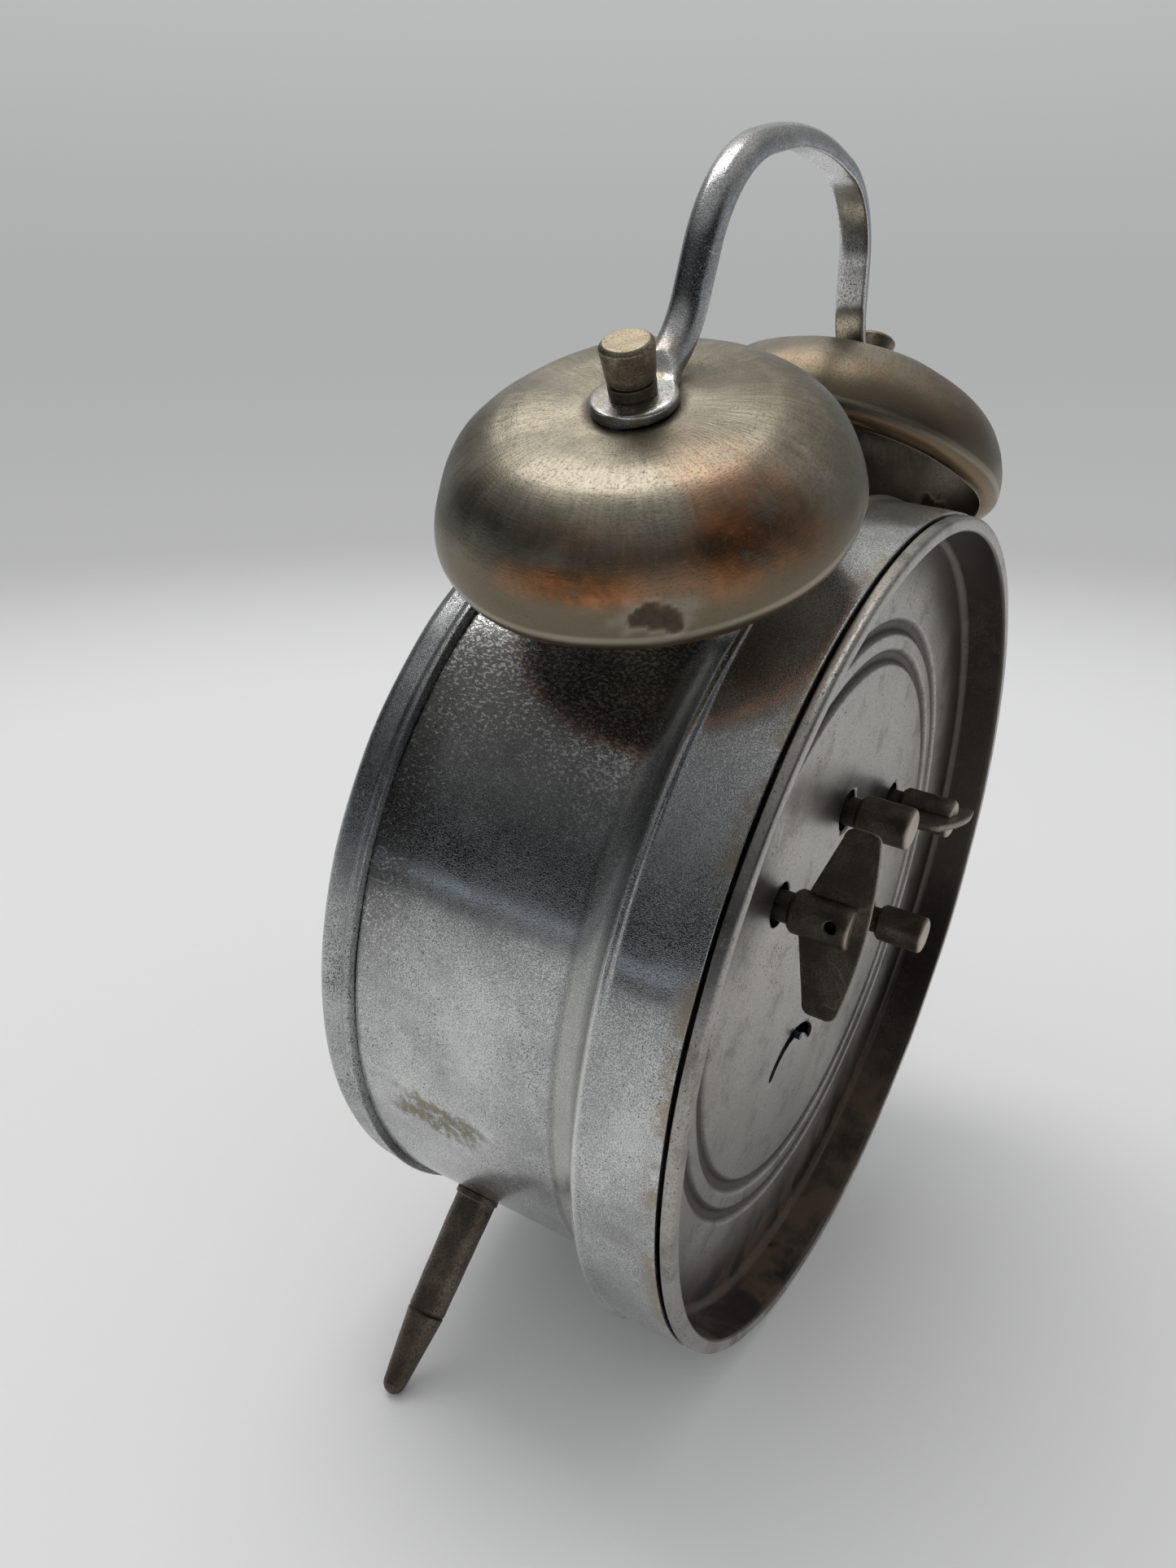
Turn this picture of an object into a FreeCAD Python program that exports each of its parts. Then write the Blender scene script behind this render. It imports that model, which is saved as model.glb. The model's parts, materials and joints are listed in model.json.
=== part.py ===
import FreeCAD
import Part
import Sketcher
import math
import os
import re

# Twin-bell wind-up alarm clock. The drum's axis lies along Y, with the dial towards -Y, the keys
# towards +Y and the bells up. Every piece is drawn with the drum level and its rear lip at y = 0.
# At the end the whole clock leans back until its feet and the ring's rear edge stand on z = 0.

Vector = FreeCAD.Vector
Placement = FreeCAD.Placement
Rotation = FreeCAD.Rotation
document = FreeCAD.newDocument("AlarmClock")

driving = {
    # drum
    "ringRadius": 55.0, "ridgeRadius": 55.4, "barrelRadius": 50.2, "sheetGauge": 0.6,
    "ringRear": -1.9, "ridgeDepth": -11.5, "coveDepth": -17.5, "coveRound": 6.2,
    "barrelFront": -44.2, "leanAngle": 6.0,
    # bezel, glass, dial
    "bezelRadius": 50.8, "bezelFront": -49.8, "bezelRound": 2.0, "bezelEye": 45.6,
    "sleeveRadius": 49.5, "sleeveRear": -41.0, "glassRadius": 48.4, "glassGauge": 1.0,
    "glassRear": -48.1, "glassRise": 0.9, "glassDome": 1125.0,
    "dialRadius": 48.6, "dialRear": -41.7, "dialGauge": 0.5, "dialHole": 3.3, "dialStep": 46.6,
    # back cover, a pan with a rolled lip
    "lipRadius": 54.8, "lipDepth": -1.5, "panWall": 52.9, "floorDepth": -6.3, "floorRadius": 51.4,
    "coverGauge": 0.5, "outerGroove": 40.1, "innerGroove": 36.2, "grooveDepth": 0.8,
    "grooveWidth": 1.1, "coverHole": 2.85, "slotRadius": 8.7, "slotWidth": 1.6, "slotSweep": 100.0,
    # winding keys and setting knobs
    "keyAcross": 20.0, "keyHeight": 11.2, "timeKeyTurn": -13.0, "alarmKeyTurn": 77.0,
    "hubRadius": 2.7, "neckRadius": 1.9, "neckFront": -7.8, "neckRear": -4.7,
    "hubRear": 2.8, "knobRear": 2.3, "threadRadius": 1.2, "threadRear": -4.0,
    "wingSpan": 11.3, "wingGauge": 0.9, "wingFront": -3.2, "wingRear": 3.4, "wingBow": 56.0,
    "wingTipFront": -0.9, "wingShoulder": 2.7, "wingCorner": 1.2, "crossHole": 0.8,
    "alarmKnobHeight": 16.5, "timeKnobAcross": -21.0, "timeKnobHeight": -8.0,
    # bells, measured from the rim along the bell's own axis
    "bellAngle": 26.6, "bellDepth": -25.1, "bellRim": 59.8, "bellRimRadius": 20.5,
    "bellRadius": 22.45, "bellWaist": 2.3, "bellGauge": 0.9, "rimRound": 2.33,
    "shoulderRound": 11.0, "shoulderAngle": 75.05, "crownRound": 55.4,
    "dimpleRadius": 10.5, "dimpleFlat": 9.0, "dimpleFloor": 13.4, "crownEdge": 13.6,
    # bell posts and nuts
    "studRadius": 1.5, "studHole": 1.75, "postRadius": 2.4, "collarRadius": 3.4,
    "nutTop": 80.1, "nutTopRadius": 2.75, "nutFootRadius": 2.4, "nutLine": 0.25,
    # carrying handle
    "eyeRadius": 4.5, "eyeGauge": 1.4, "stripWidth": 4.0, "stripGauge": 2.6,
    "footAcross": 25.2, "footHeight": 71.4, "legAcross": 22.9, "legHeight": 80.5,
    "shoulderAcross": 19.0, "shoulderHeight": 87.2, "archAcross": 11.2, "archHeight": 91.2,
    "archTop": 92.6,
    # feet, measured outwards from the drum's axis
    "legAngle": 41.0, "legDepth": -36.5, "legCollar": 2.95, "legRoot": 2.75, "legWaist": 2.45,
    "legTip": 1.5, "legBand": 0.6, "legNut": 4.0,
    # movement frame
    "plateRadius": 41.0, "plateGauge": 1.0, "backPlate": -9.5, "frontPlate": -34.0,
    "pillarRadius": 2.5, "pillarCircle": 36.8, "sidePillar": 31.0, "sidePillarHeight": -8.0,
    "lowPillarAcross": -12.0, "lowPillarHeight": -32.0, "pillarNut": 3.4,
    "pillarStud": 1.5, "pillarNutGauge": 1.5,
    "pivotRadius": 0.6, "arborRadius": 1.0, "windingRadius": 1.45, "springCore": 2.4,
    "runningGap": 0.05,
    # wheels: modules and tooth counts
    "greatModule": 0.5735, "greatTeeth": 64, "centreLeaves": 16, "centreModule": 0.44,
    "centreTeeth": 64, "thirdLeaves": 8, "thirdModule": 0.4, "thirdTeeth": 60, "fourthLeaves": 8,
    "fourthModule": 0.3, "fourthTeeth": 60, "escapeLeaves": 6, "escapeTeeth": 15,
    "escapeRadius": 5.4, "motionModule": 0.5, "cannonTeeth": 12, "minuteTeeth": 36,
    "setTeeth": 12, "hourModule": 0.4, "minuteLeaves": 12, "hourTeeth": 48, "alarmTeeth": 44,
    "alarmSetTeeth": 22, "alarmGreatTeeth": 68, "alarmLeaves": 8, "alarmEscapeTeeth": 18,
    "alarmEscapeRadius": 5.8, "ratchetTeeth": 18, "ratchetRadius": 5.0,
    "thirdBearing": -35.0, "fourthBearing": -60.0, "escapeBearing": -80.0,
    "minuteAcross": -9.0, "minuteHeight": -7.94, "palletAcross": 13.6, "palletHeight": -30.3,
    "regulatorBore": 1.25, "minuteStud": 0.8, "balanceAcross": 5.2, "balanceHeight": -23.3,
    "balanceRadius": 9.0,
    # depths of the trains' layers: rear faces, and how thick each kind of piece is
    "springRear": -13.5, "springFront": -28.0, "springGauge": 0.4, "springEdge": 1.0,
    "ratchetRear": -28.6, "ratchetGauge": 0.8, "greatRear": -30.0, "greatGauge": 1.0,
    "clickRivet": 0.7, "clickAcross": 9.0, "wheelGauge": 0.8, "leafOverhang": 0.4,
    "centreRear": -11.7, "thirdRear": -13.6, "fourthRear": -17.2, "escapeRear": -27.8,
    "forkRear": -26.6, "forkGauge": 0.7, "forkPinFront": -29.0, "smallPin": 0.3,
    "balanceRear": -23.2, "balanceGauge": 1.4, "hubOverhang": 0.3, "rollerRear": -25.5,
    "rollerGauge": 0.6, "regulatorRear": -8.7, "regulatorGauge": 0.6, "pointerRear": -5.4,
    "hairspringRear": -12.0, "hairspringWidth": 0.5, "hairspringGauge": 0.12,
    "cannonRear": -35.4, "cannonGauge": 1.0, "hourRear": -37.0, "alarmRear": -39.4,
    "minuteRear": -35.5, "minuteFront": -38.2, "handEnd": -45.3,
    "alarmEscapeRear": -16.2, "alarmLeafRear": -29.6,
    # hands
    "alarmHandRear": -42.8, "hourHandRear": -43.8, "minuteHandRear": -45.0, "handGauge": 0.4,
    # hammer
    "hammerPivot": 33.0, "hammerHeight": 65.0, "hammerRadius": 2.5, "hammerLength": 6.4,
    "hammerRod": 0.9, "hammerSlot": 8.0,
}

sheet = document.addObject("Spreadsheet::Sheet", "Sizes")
for row, (alias, amount) in enumerate(driving.items(), start=1):
    sheet.set("A%d" % row, alias)
    sheet.set("B%d" % row, str(amount))
    sheet.setAlias("B%d" % row, alias)
document.recompute()

nodes = {}
ownPlaces = {}


def bound(text):
    # puts the sheet's name before each alias, and leaves functions such as cos alone
    return re.sub(r"[A-Za-z]\w*", lambda word: "Sizes." + word[0] if word[0] in driving else word[0],
                  str(text))


def size(text):
    return float(sheet.evalExpression(bound(text)))


def bind(thing, **sizes):
    for name, text in sizes.items():
        setattr(thing, name, size(text))
        if bound(text) != str(text):
            thing.setExpression(name, bound(text))
    return thing


def keep(label, thing, place=None):
    thing.Label = label
    nodes[label] = thing
    ownPlaces[label] = place or Placement()
    return thing


def beside(across, height):
    return Placement(Vector(size(across), 0, size(height)), Rotation())


def at(spot):
    return Placement(Vector(spot[0], 0, spot[1]), Rotation())


def outwards(angle, depth):
    # local Y points away from the drum's axis, turned from straight up towards +X
    turn = Rotation(Vector(0, 1, 0), angle) * Rotation(Vector(1, 0, 0), 90)
    return Placement(Vector(0, size(depth), 0), turn)


# ---------------------------------------------------------------- sketched bodies
def newBody(label):
    return document.addObject("PartDesign::Body", label + "_body")


def newSketch(body, role, offset=None):
    sketch = body.newObject("Sketcher::SketchObject", body.Name + "_sketch")
    plane = [part for part in body.Origin.OriginFeatures if part.Role == role][0]
    sketch.AttachmentSupport = (plane, [""])
    sketch.MapMode = "FlatFace"
    if offset is not None:
        sketch.setExpression(".AttachmentOffset.Base.z", bound(offset))
    return sketch


def bindLast(sketch, constraint, text):
    index = sketch.addConstraint(constraint)
    if bound(text) != str(text):
        sketch.setExpression("Constraints[%d]" % index, bound(text))


def addArc(sketch, start, end, bend):
    # an arc shorter than half a turn, anticlockwise where its radius is positive
    chord = end - start
    left = Vector(-chord.y, chord.x, 0).normalize()
    rise = math.sqrt(max(bend * bend - chord.Length ** 2 / 4, 0))
    centre = (start + end) * 0.5 + left * math.copysign(rise, bend)
    first, last = (start, end) if bend > 0 else (end, start)
    angles = [math.atan2(point.y - centre.y, point.x - centre.x) for point in (first, last)]
    circle = Part.Circle(centre, Vector(0, 0, 1), abs(bend))
    return sketch.addGeometry(Part.ArcOfCircle(circle, angles[0], angles[1]), False)


def drawOutline(sketch, outline):
    # each vertex is (x, y), or (x, y, radius) where an arc leaves it
    corners = [Vector(size(vertex[0]), size(vertex[1]), 0) for vertex in outline]
    bends = [size(vertex[2]) if len(vertex) == 3 else 0 for vertex in outline]
    edges = []
    for index, bend in enumerate(bends):
        start, end = corners[index], corners[(index + 1) % len(corners)]
        if bend:
            edges.append(addArc(sketch, start, end, bend))
        else:
            edges.append(sketch.addGeometry(Part.LineSegment(start, end), False))
    for index, vertex in enumerate(outline):
        after = (index + 1) % len(outline)
        start, end = (1, 2) if bends[index] >= 0 else (2, 1)
        startAfter = 1 if bends[after] >= 0 else 2
        edge = edges[index]
        sketch.addConstraint(Sketcher.Constraint("Coincident", edge, end, edges[after], startAfter))
        for kind, text in zip(("DistanceX", "DistanceY"), vertex):
            bindLast(sketch, Sketcher.Constraint(kind, -1, 1, edge, start, size(text)), text)
        if bends[index]:
            text = str(vertex[2]).lstrip("-")
            bindLast(sketch, Sketcher.Constraint("Radius", edge, size(text)), text)


def drawCircle(sketch, across, height, radius):
    centre = Vector(size(across), size(height), 0)
    edge = sketch.addGeometry(Part.Circle(centre, Vector(0, 0, 1), size(radius)), False)
    bindLast(sketch, Sketcher.Constraint("DistanceX", -1, 1, edge, 3, centre.x), across)
    bindLast(sketch, Sketcher.Constraint("DistanceY", -1, 1, edge, 3, centre.y), height)
    bindLast(sketch, Sketcher.Constraint("Radius", edge, size(radius)), radius)


def revolve(label, outline):
    # the outline is (radius, distance along Y)
    body = newBody(label)
    sketch = newSketch(body, "XY_Plane")
    drawOutline(sketch, outline)
    turning = body.newObject("PartDesign::Revolution", body.Name + "_turn")
    turning.Profile = sketch
    turning.ReferenceAxis = (sketch, ["V_Axis"])
    turning.Angle = 360
    return body


def turned(label, outline, place=None):
    return keep(label, revolve(label, outline), place)


def padded(label, rear, front, outlines=(), circles=()):
    # flat stock whose faces lie at rear and front along Y; sketches are (x, z)
    body = newBody(label)
    sketch = newSketch(body, "XZ_Plane", "-(%s)" % rear)
    for outline in outlines:
        drawOutline(sketch, outline)
    for circle in circles:
        drawCircle(sketch, *circle)
    pad = body.newObject("PartDesign::Pad", body.Name + "_pad")
    pad.Profile = sketch
    bind(pad, Length="(%s) - (%s)" % (rear, front))
    return body


def pocket(body, role, outlines, depth):
    # cuts evenly to both sides of an origin plane
    sketch = newSketch(body, role)
    for outline in outlines:
        drawOutline(sketch, outline)
    document.recompute()
    before = body.Shape.Volume
    hollow = body.newObject("PartDesign::Pocket", body.Name + "_pocket")
    hollow.Profile = sketch
    hollow.Midplane = True
    bind(hollow, Length=depth)
    document.recompute()
    if body.Shape.Volume >= before:
        raise ValueError("a pocket in %s cuts nothing" % body.Label)


# ---------------------------------------------------------------- primitives and booleans
def bar(name, radius, start, length, place=None):
    # a round bar along local Y that begins at start
    thing = bind(document.addObject("Part::Cylinder", name), Radius=radius, Height=length)
    lying = Placement(Vector(0, size(start), 0), Rotation(Vector(1, 0, 0), -90))
    thing.Placement = (place or Placement()).multiply(lying)
    return thing


def block(name, across, depth, height, corner, place=None):
    thing = bind(document.addObject("Part::Box", name), Length=across, Width=depth, Height=height)
    start = Placement(Vector(*[size(text) for text in corner]), Rotation())
    thing.Placement = (place or Placement()).multiply(start)
    return thing


def fused(name, things):
    thing = document.addObject("Part::MultiFuse", name)
    thing.Shapes = things
    return thing


def cutAway(name, base, tools):
    thing = document.addObject("Part::Cut", name)
    thing.Base = base
    thing.Tool = tools[0] if len(tools) == 1 else fused(name + "_tools", tools)
    return thing


def shaped(label, shape, place=None):
    thing = document.addObject("Part::Feature", label + "_shape")
    thing.Shape = shape
    return keep(label, thing, place)


# ---------------------------------------------------------------- drum
gauge = "sheetGauge"
shell = revolve("barrel_shell", [
    ("ringRadius", "ringRear"), ("ridgeRadius", "ridgeDepth", "coveRound"),
    ("barrelRadius", "coveDepth"), ("barrelRadius", "barrelFront"),
    ("barrelRadius - sheetGauge", "barrelFront"),
    ("barrelRadius - sheetGauge", "coveDepth", "-(coveRound + sheetGauge)"),
    ("ridgeRadius - sheetGauge", "ridgeDepth + sheetGauge"), ("ringRadius - sheetGauge", "ringRear"),
])
wallHoles = [block("hammer_slot", "hammerSlot", "4", "12",
                   ("-hammerSlot / 2", "bellDepth - 2", "barrelRadius - 6"))]
for side, lean in (("left", -1), ("right", 1)):
    wallHoles.append(bar("post_hole_" + side, "studHole", "barrelRadius - 6", "12",
                         outwards(lean * size("bellAngle"), "bellDepth")))
    wallHoles.append(bar("leg_hole_" + side, "studHole", "barrelRadius - 6", "12",
                         outwards(lean * (180 - size("legAngle")), "legDepth")))
keep("case_barrel", cutAway("barrel_cut", shell, wallHoles))

turned("front_bezel", [
    ("sleeveRadius", "sleeveRear"), ("sleeveRadius", "barrelFront - 0.1"),
    ("bezelRadius", "barrelFront - 0.1"), ("bezelRadius", "bezelFront + bezelRound", "-bezelRound"),
    ("bezelRadius - bezelRound", "bezelFront"), ("bezelEye", "bezelFront"),
    ("bezelEye", "bezelFront + sheetGauge"),
    ("bezelRadius - bezelRound", "bezelFront + sheetGauge", "bezelRound - sheetGauge"),
    ("bezelRadius - sheetGauge", "bezelFront + bezelRound"),
    ("bezelRadius - sheetGauge", "barrelFront - 0.1 - sheetGauge"),
    ("sleeveRadius - sheetGauge", "barrelFront - 0.1 - sheetGauge"),
    ("sleeveRadius - sheetGauge", "sleeveRear"),
])
turned("front_glass", [
    ("0", "glassRear - glassRise", "glassDome"), ("bezelEye - 0.6", "glassRear"),
    ("glassRadius", "glassRear"), ("glassRadius", "glassRear - glassGauge"),
    ("bezelEye - 0.6", "glassRear - glassGauge", "-glassDome"),
    ("0", "glassRear - glassRise - glassGauge"),
])
turned("dial_ring", [
    ("dialRadius + 0.1", "dialRear - dialGauge"), ("dialRadius + 0.1", "glassRear"),
    ("dialStep", "glassRear"), ("dialStep + 0.8", "dialRear - dialGauge"),
])
turned("dial", [
    ("dialHole", "dialRear"), ("dialRadius", "dialRear"), ("dialRadius", "dialRear - dialGauge"),
    ("dialHole", "dialRear - dialGauge"),
])

# ---------------------------------------------------------------- back cover
def groove(radius, depth):
    return [(radius + " + grooveWidth", depth),
            (radius + " + grooveWidth * 0.3", depth + " - grooveDepth"),
            (radius + " - grooveWidth * 0.3", depth + " - grooveDepth"),
            (radius + " - grooveWidth", depth)]


inside = "floorDepth - coverGauge"
pan = revolve("cover_pan", [("0", "floorDepth")] + groove("innerGroove", "floorDepth")[::-1]
              + groove("outerGroove", "floorDepth")[::-1] + [
    ("floorRadius", "floorDepth", "1.2"), ("panWall - 0.3", "floorDepth + 1.2"),
    ("panWall", "-0.5", "-0.5"), ("panWall + 0.5", "0"), ("lipRadius - 0.6", "0", "-0.6"),
    ("lipRadius", "-0.6"), ("lipRadius", "lipDepth"), ("panWall + coverGauge", "lipDepth"),
    ("panWall + 0.2", "floorDepth + 1.2", "-1.7"), ("floorRadius", inside),
] + groove("outerGroove", inside) + groove("innerGroove", inside) + [("0", inside)])
coverHoles = [("keyAcross", "keyHeight"), ("-keyAcross", "keyHeight"), ("0", "alarmKnobHeight"),
              ("timeKnobAcross", "timeKnobHeight")]
coverCuts = [bar("cover_hole_%d" % spot, "coverHole", "floorDepth - 3", "6", beside(*place))
             for spot, place in enumerate(coverHoles)]
# the regulator's slot is part of a ring about the balance, with round ends
ringPlace = beside("balanceAcross", "balanceHeight")
slotOuter = bar("slot_outer", "slotRadius + slotWidth / 2", "floorDepth - 3", "6", ringPlace)
slotInner = bar("slot_inner", "slotRadius - slotWidth / 2", "floorDepth - 3", "6", ringPlace)
bind(slotOuter, Angle="slotSweep")
halfSweep = size("slotSweep") / 2
slotOuter.Placement = ringPlace.multiply(Placement(
    Vector(0, size("floorDepth") - 3, 0), Rotation(Vector(0, 1, 0), -90 - halfSweep)
    * Rotation(Vector(1, 0, 0), -90)))
coverCuts.append(cutAway("slot_ring", slotOuter, [slotInner]))
for end in (-1, 1):
    lean = Rotation(Vector(0, 1, 0), end * halfSweep)
    spot = ringPlace.Base + lean.multVec(Vector(0, 0, size("slotRadius")))
    coverCuts.append(bar("slot_end_%d" % (end + 1), "slotWidth / 2", "floorDepth - 3", "6",
                         Placement(spot, Rotation())))
keep("back_cover", cutAway("cover_cut", pan, coverCuts))


# ---------------------------------------------------------------- keys and knobs
def hubOutline(rear):
    return [("threadRadius", "neckFront"), ("neckRadius", "neckFront"), ("neckRadius", "neckRear"),
            ("hubRadius - 0.4", "neckRear + 0.1"), ("hubRadius", "neckRear + 0.6"),
            ("hubRadius", rear + " - 0.3"), ("hubRadius - 0.3", rear), ("0", rear),
            ("0", "threadRear"), ("threadRadius", "threadRear")]


def windingKey(name, across, turn):
    place = beside(across, "keyHeight")
    place.Rotation = Rotation(Vector(0, 1, 0), size(turn))
    hub = revolve(name + "_hub", hubOutline("hubRear"))
    half = "wingGauge / 2"
    pocket(hub, "XY_Plane", [[("-" + half, "wingFront"), (half, "wingFront"),
                              (half, "hubRear + 1"), ("-" + half, "hubRear + 1")]], "8")
    holed = cutAway(name + "_hub_drilled", hub,
                    [bind(document.addObject("Part::Cylinder", name + "_cross"),
                          Radius="crossHole", Height="8")])
    holed.Tool.Placement = Placement(Vector(-4, 0.75, 0), Rotation(Vector(0, 1, 0), 90))
    keep(name + "_hub", holed, place)

    wing = newBody(name + "_wing")
    sketch = newSketch(wing, "YZ_Plane")
    corner, top = "wingCorner", "wingSpan - wingCorner"
    drawOutline(sketch, [
        ("wingFront", "-wingShoulder"), ("wingTipFront", "-(%s)" % top, corner),
        ("wingTipFront + wingCorner", "-wingSpan"), ("wingRear - wingCorner", "-wingSpan", corner),
        ("wingRear", "-(%s)" % top, "wingBow"), ("wingRear", top, corner),
        ("wingRear - wingCorner", "wingSpan"), ("wingTipFront + wingCorner", "wingSpan", corner),
        ("wingTipFront", top), ("wingFront", "wingShoulder")])
    pad = wing.newObject("PartDesign::Pad", name + "_wing_pad")
    pad.Profile = sketch
    pad.Midplane = True
    bind(pad, Length="wingGauge")
    keep(name + "_wing", wing, place)


windingKey("time_key", "keyAcross", "timeKeyTurn")
windingKey("alarm_key", "-keyAcross", "alarmKeyTurn")
turned("alarm_set_knob", hubOutline("knobRear"), beside("0", "alarmKnobHeight"))
turned("time_set_knob", hubOutline("knobRear"), beside("timeKnobAcross", "timeKnobHeight"))

# ---------------------------------------------------------------- bells, posts and nuts
side, rimRing = "bellRadius - shoulderRound", "bellRadius - rimRound"
join = (side + " + %s * cos(shoulderAngle)", "bellWaist + %s * sin(shoulderAngle)")
thick, thin = "shoulderRound", "(shoulderRound - bellGauge)"
bellOutline = [
    ("bellRimRadius", "0", "rimRound"), ("bellRadius", "bellWaist", thick),
    (join[0] % thick, join[1] % thick, "crownRound"), ("dimpleRadius", "crownEdge"),
    ("dimpleFlat", "dimpleFloor"), ("studHole", "dimpleFloor"),
    ("studHole", "dimpleFloor - bellGauge"), ("dimpleFlat + 0.2", "dimpleFloor - bellGauge"),
    ("dimpleRadius + 0.2", "crownEdge - bellGauge", "-(crownRound - bellGauge)"),
    (join[0] % thin, join[1] % thin, "-" + thin),
    ("bellRadius - bellGauge", "bellWaist", "-(rimRound - bellGauge)"),
    ("bellRimRadius - 0.15", "bellGauge"),
]
nutFoot = "bellRim + dimpleFloor + eyeGauge"
for label, lean in (("left", -1), ("right", 1)):
    axisPlace = outwards(lean * size("bellAngle"), "bellDepth")
    turned("bell_" + label, bellOutline,
           axisPlace.multiply(Placement(Vector(0, size("bellRim"), 0), Rotation())))
    turned("bell_post_" + label, [
        ("0", "pillarCircle - 1"), ("studRadius", "pillarCircle - 1"),
        ("studRadius", "barrelRadius + 0.1"), ("collarRadius", "barrelRadius + 0.1"),
        ("collarRadius", "barrelRadius + 1.4"), ("postRadius", "barrelRadius + 1.6"),
        ("postRadius", "bellRim + dimpleFloor - bellGauge"),
        ("studRadius", "bellRim + dimpleFloor - bellGauge"),
        ("studRadius", "nutTop - 1.5"), ("0", "nutTop - 1.5")], axisPlace)
    turned("bell_nut_" + label, [
        ("studRadius", nutFoot), ("nutFootRadius", nutFoot),
        ("nutFootRadius + 0.08", nutFoot + " + 1.3"),
        ("nutFootRadius - nutLine", nutFoot + " + 1.4"),
        ("nutFootRadius - nutLine", nutFoot + " + 1.6"),
        ("nutFootRadius + 0.1", nutFoot + " + 1.7"), ("nutTopRadius", "nutTop - 0.25"),
        ("nutTopRadius - 0.25", "nutTop"), ("0", "nutTop"), ("0", "nutTop - 1.5"),
        ("studRadius", "nutTop - 1.5")], axisPlace)


# ---------------------------------------------------------------- handle
def handleShape():
    # a half-round strip, flat inside: it leaves an eye on each bell, bends up and forms the arch
    depth = size("bellDepth")
    lean = math.radians(size("bellAngle"))
    axis = Vector(math.sin(lean), 0, math.cos(lean))
    along = Vector(-axis.z, 0, axis.x)
    half = Vector(0, size("stripWidth") / 2, 0)
    thick = size("stripGauge")

    def spot(across, height):
        return Vector(across, depth, height)

    def mirrored(point):
        return Vector(-point.x, point.y, point.z)

    eyeCentre = spot(0, 0) + axis * size("bellRim + dimpleFloor")
    start = eyeCentre + along * size("eyeRadius - 0.8") + axis * (thick / 2)
    foot = spot(size("footAcross"), size("footHeight"))
    leg = spot(size("legAcross"), size("legHeight"))
    upward = (leg - foot).normalize()
    # where the line along the bell's crown meets the leg's line, and the arc that rounds it
    rise = (foot - start).dot(axis)
    corner = foot - upward * (rise / upward.dot(axis))
    run = (corner - start).Length
    bendStart, bendEnd = start, corner + upward * run
    towardsCentre = ((bendStart - corner).normalize() + (bendEnd - corner).normalize()).normalize()
    halfTurn = math.acos(max(-1, min(1, along.dot(upward)))) / 2
    bendRadius = run / math.tan(halfTurn)
    middle = corner + towardsCentre * (bendRadius / math.cos(halfTurn) - bendRadius)
    shoulder = spot(size("shoulderAcross"), size("shoulderHeight"))
    arch, top = spot(size("archAcross"), size("archHeight")), spot(0, size("archTop"))
    rightSide = [("arc", bendStart, middle, bendEnd), ("line", bendEnd, leg),
                 ("arc", leg, shoulder, arch)]
    edges = []
    for kind, *points in rightSide:
        edges.append((Part.Arc(*points) if kind == "arc" else Part.LineSegment(*points)).toShape())
    edges.append(Part.Arc(arch, top, mirrored(arch)).toShape())
    for kind, *points in rightSide[::-1]:
        points = [mirrored(point) for point in points[::-1]]
        edges.append((Part.Arc(*points) if kind == "arc" else Part.LineSegment(*points)).toShape())
    flat, crest = start - axis * (thick / 2), start + axis * (thick / 2)
    section = Part.Wire([Part.LineSegment(flat - half, flat + half).toShape(),
                         Part.Arc(flat + half, crest, flat - half).toShape()])
    pieces = [Part.Wire(edges).makePipeShell([section], True, True)]
    for sign in (1, -1):
        eyeAxis = Vector(sign * axis.x, 0, axis.z)
        inward = Vector(sign * along.x, 0, along.z)
        centre = spot(0, 0) + eyeAxis * size("bellRim + dimpleFloor")
        eye = Part.makeCylinder(size("eyeRadius"), size("eyeGauge"), centre, eyeAxis)
        wide = Vector(0, size("eyeRadius") - 0.5, 0)
        reach = centre + inward * (size("eyeRadius") + 1.8)
        corners = [centre + wide, reach + half, reach - half, centre - wide]
        tongue = Part.Face(Part.makePolygon(corners + corners[:1])).extrude(
            eyeAxis * size("eyeGauge"))
        hole = Part.makeCylinder(size("studHole"), 8, centre - eyeAxis * 4, eyeAxis)
        nutRoom = Part.makeCylinder(size("nutTopRadius") + 0.3, 10,
                                    centre + eyeAxis * size("eyeGauge"), eyeAxis)
        pieces.append(eye.fuse([tongue]).cut(hole))
        pieces[0] = pieces[0].cut(nutRoom)
    return pieces[0].fuse(pieces[1:]).removeSplitter()


shaped("handle", handleShape())

# ---------------------------------------------------------------- feet
leanAngle, legAngle = math.radians(size("leanAngle")), math.radians(size("legAngle"))
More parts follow.
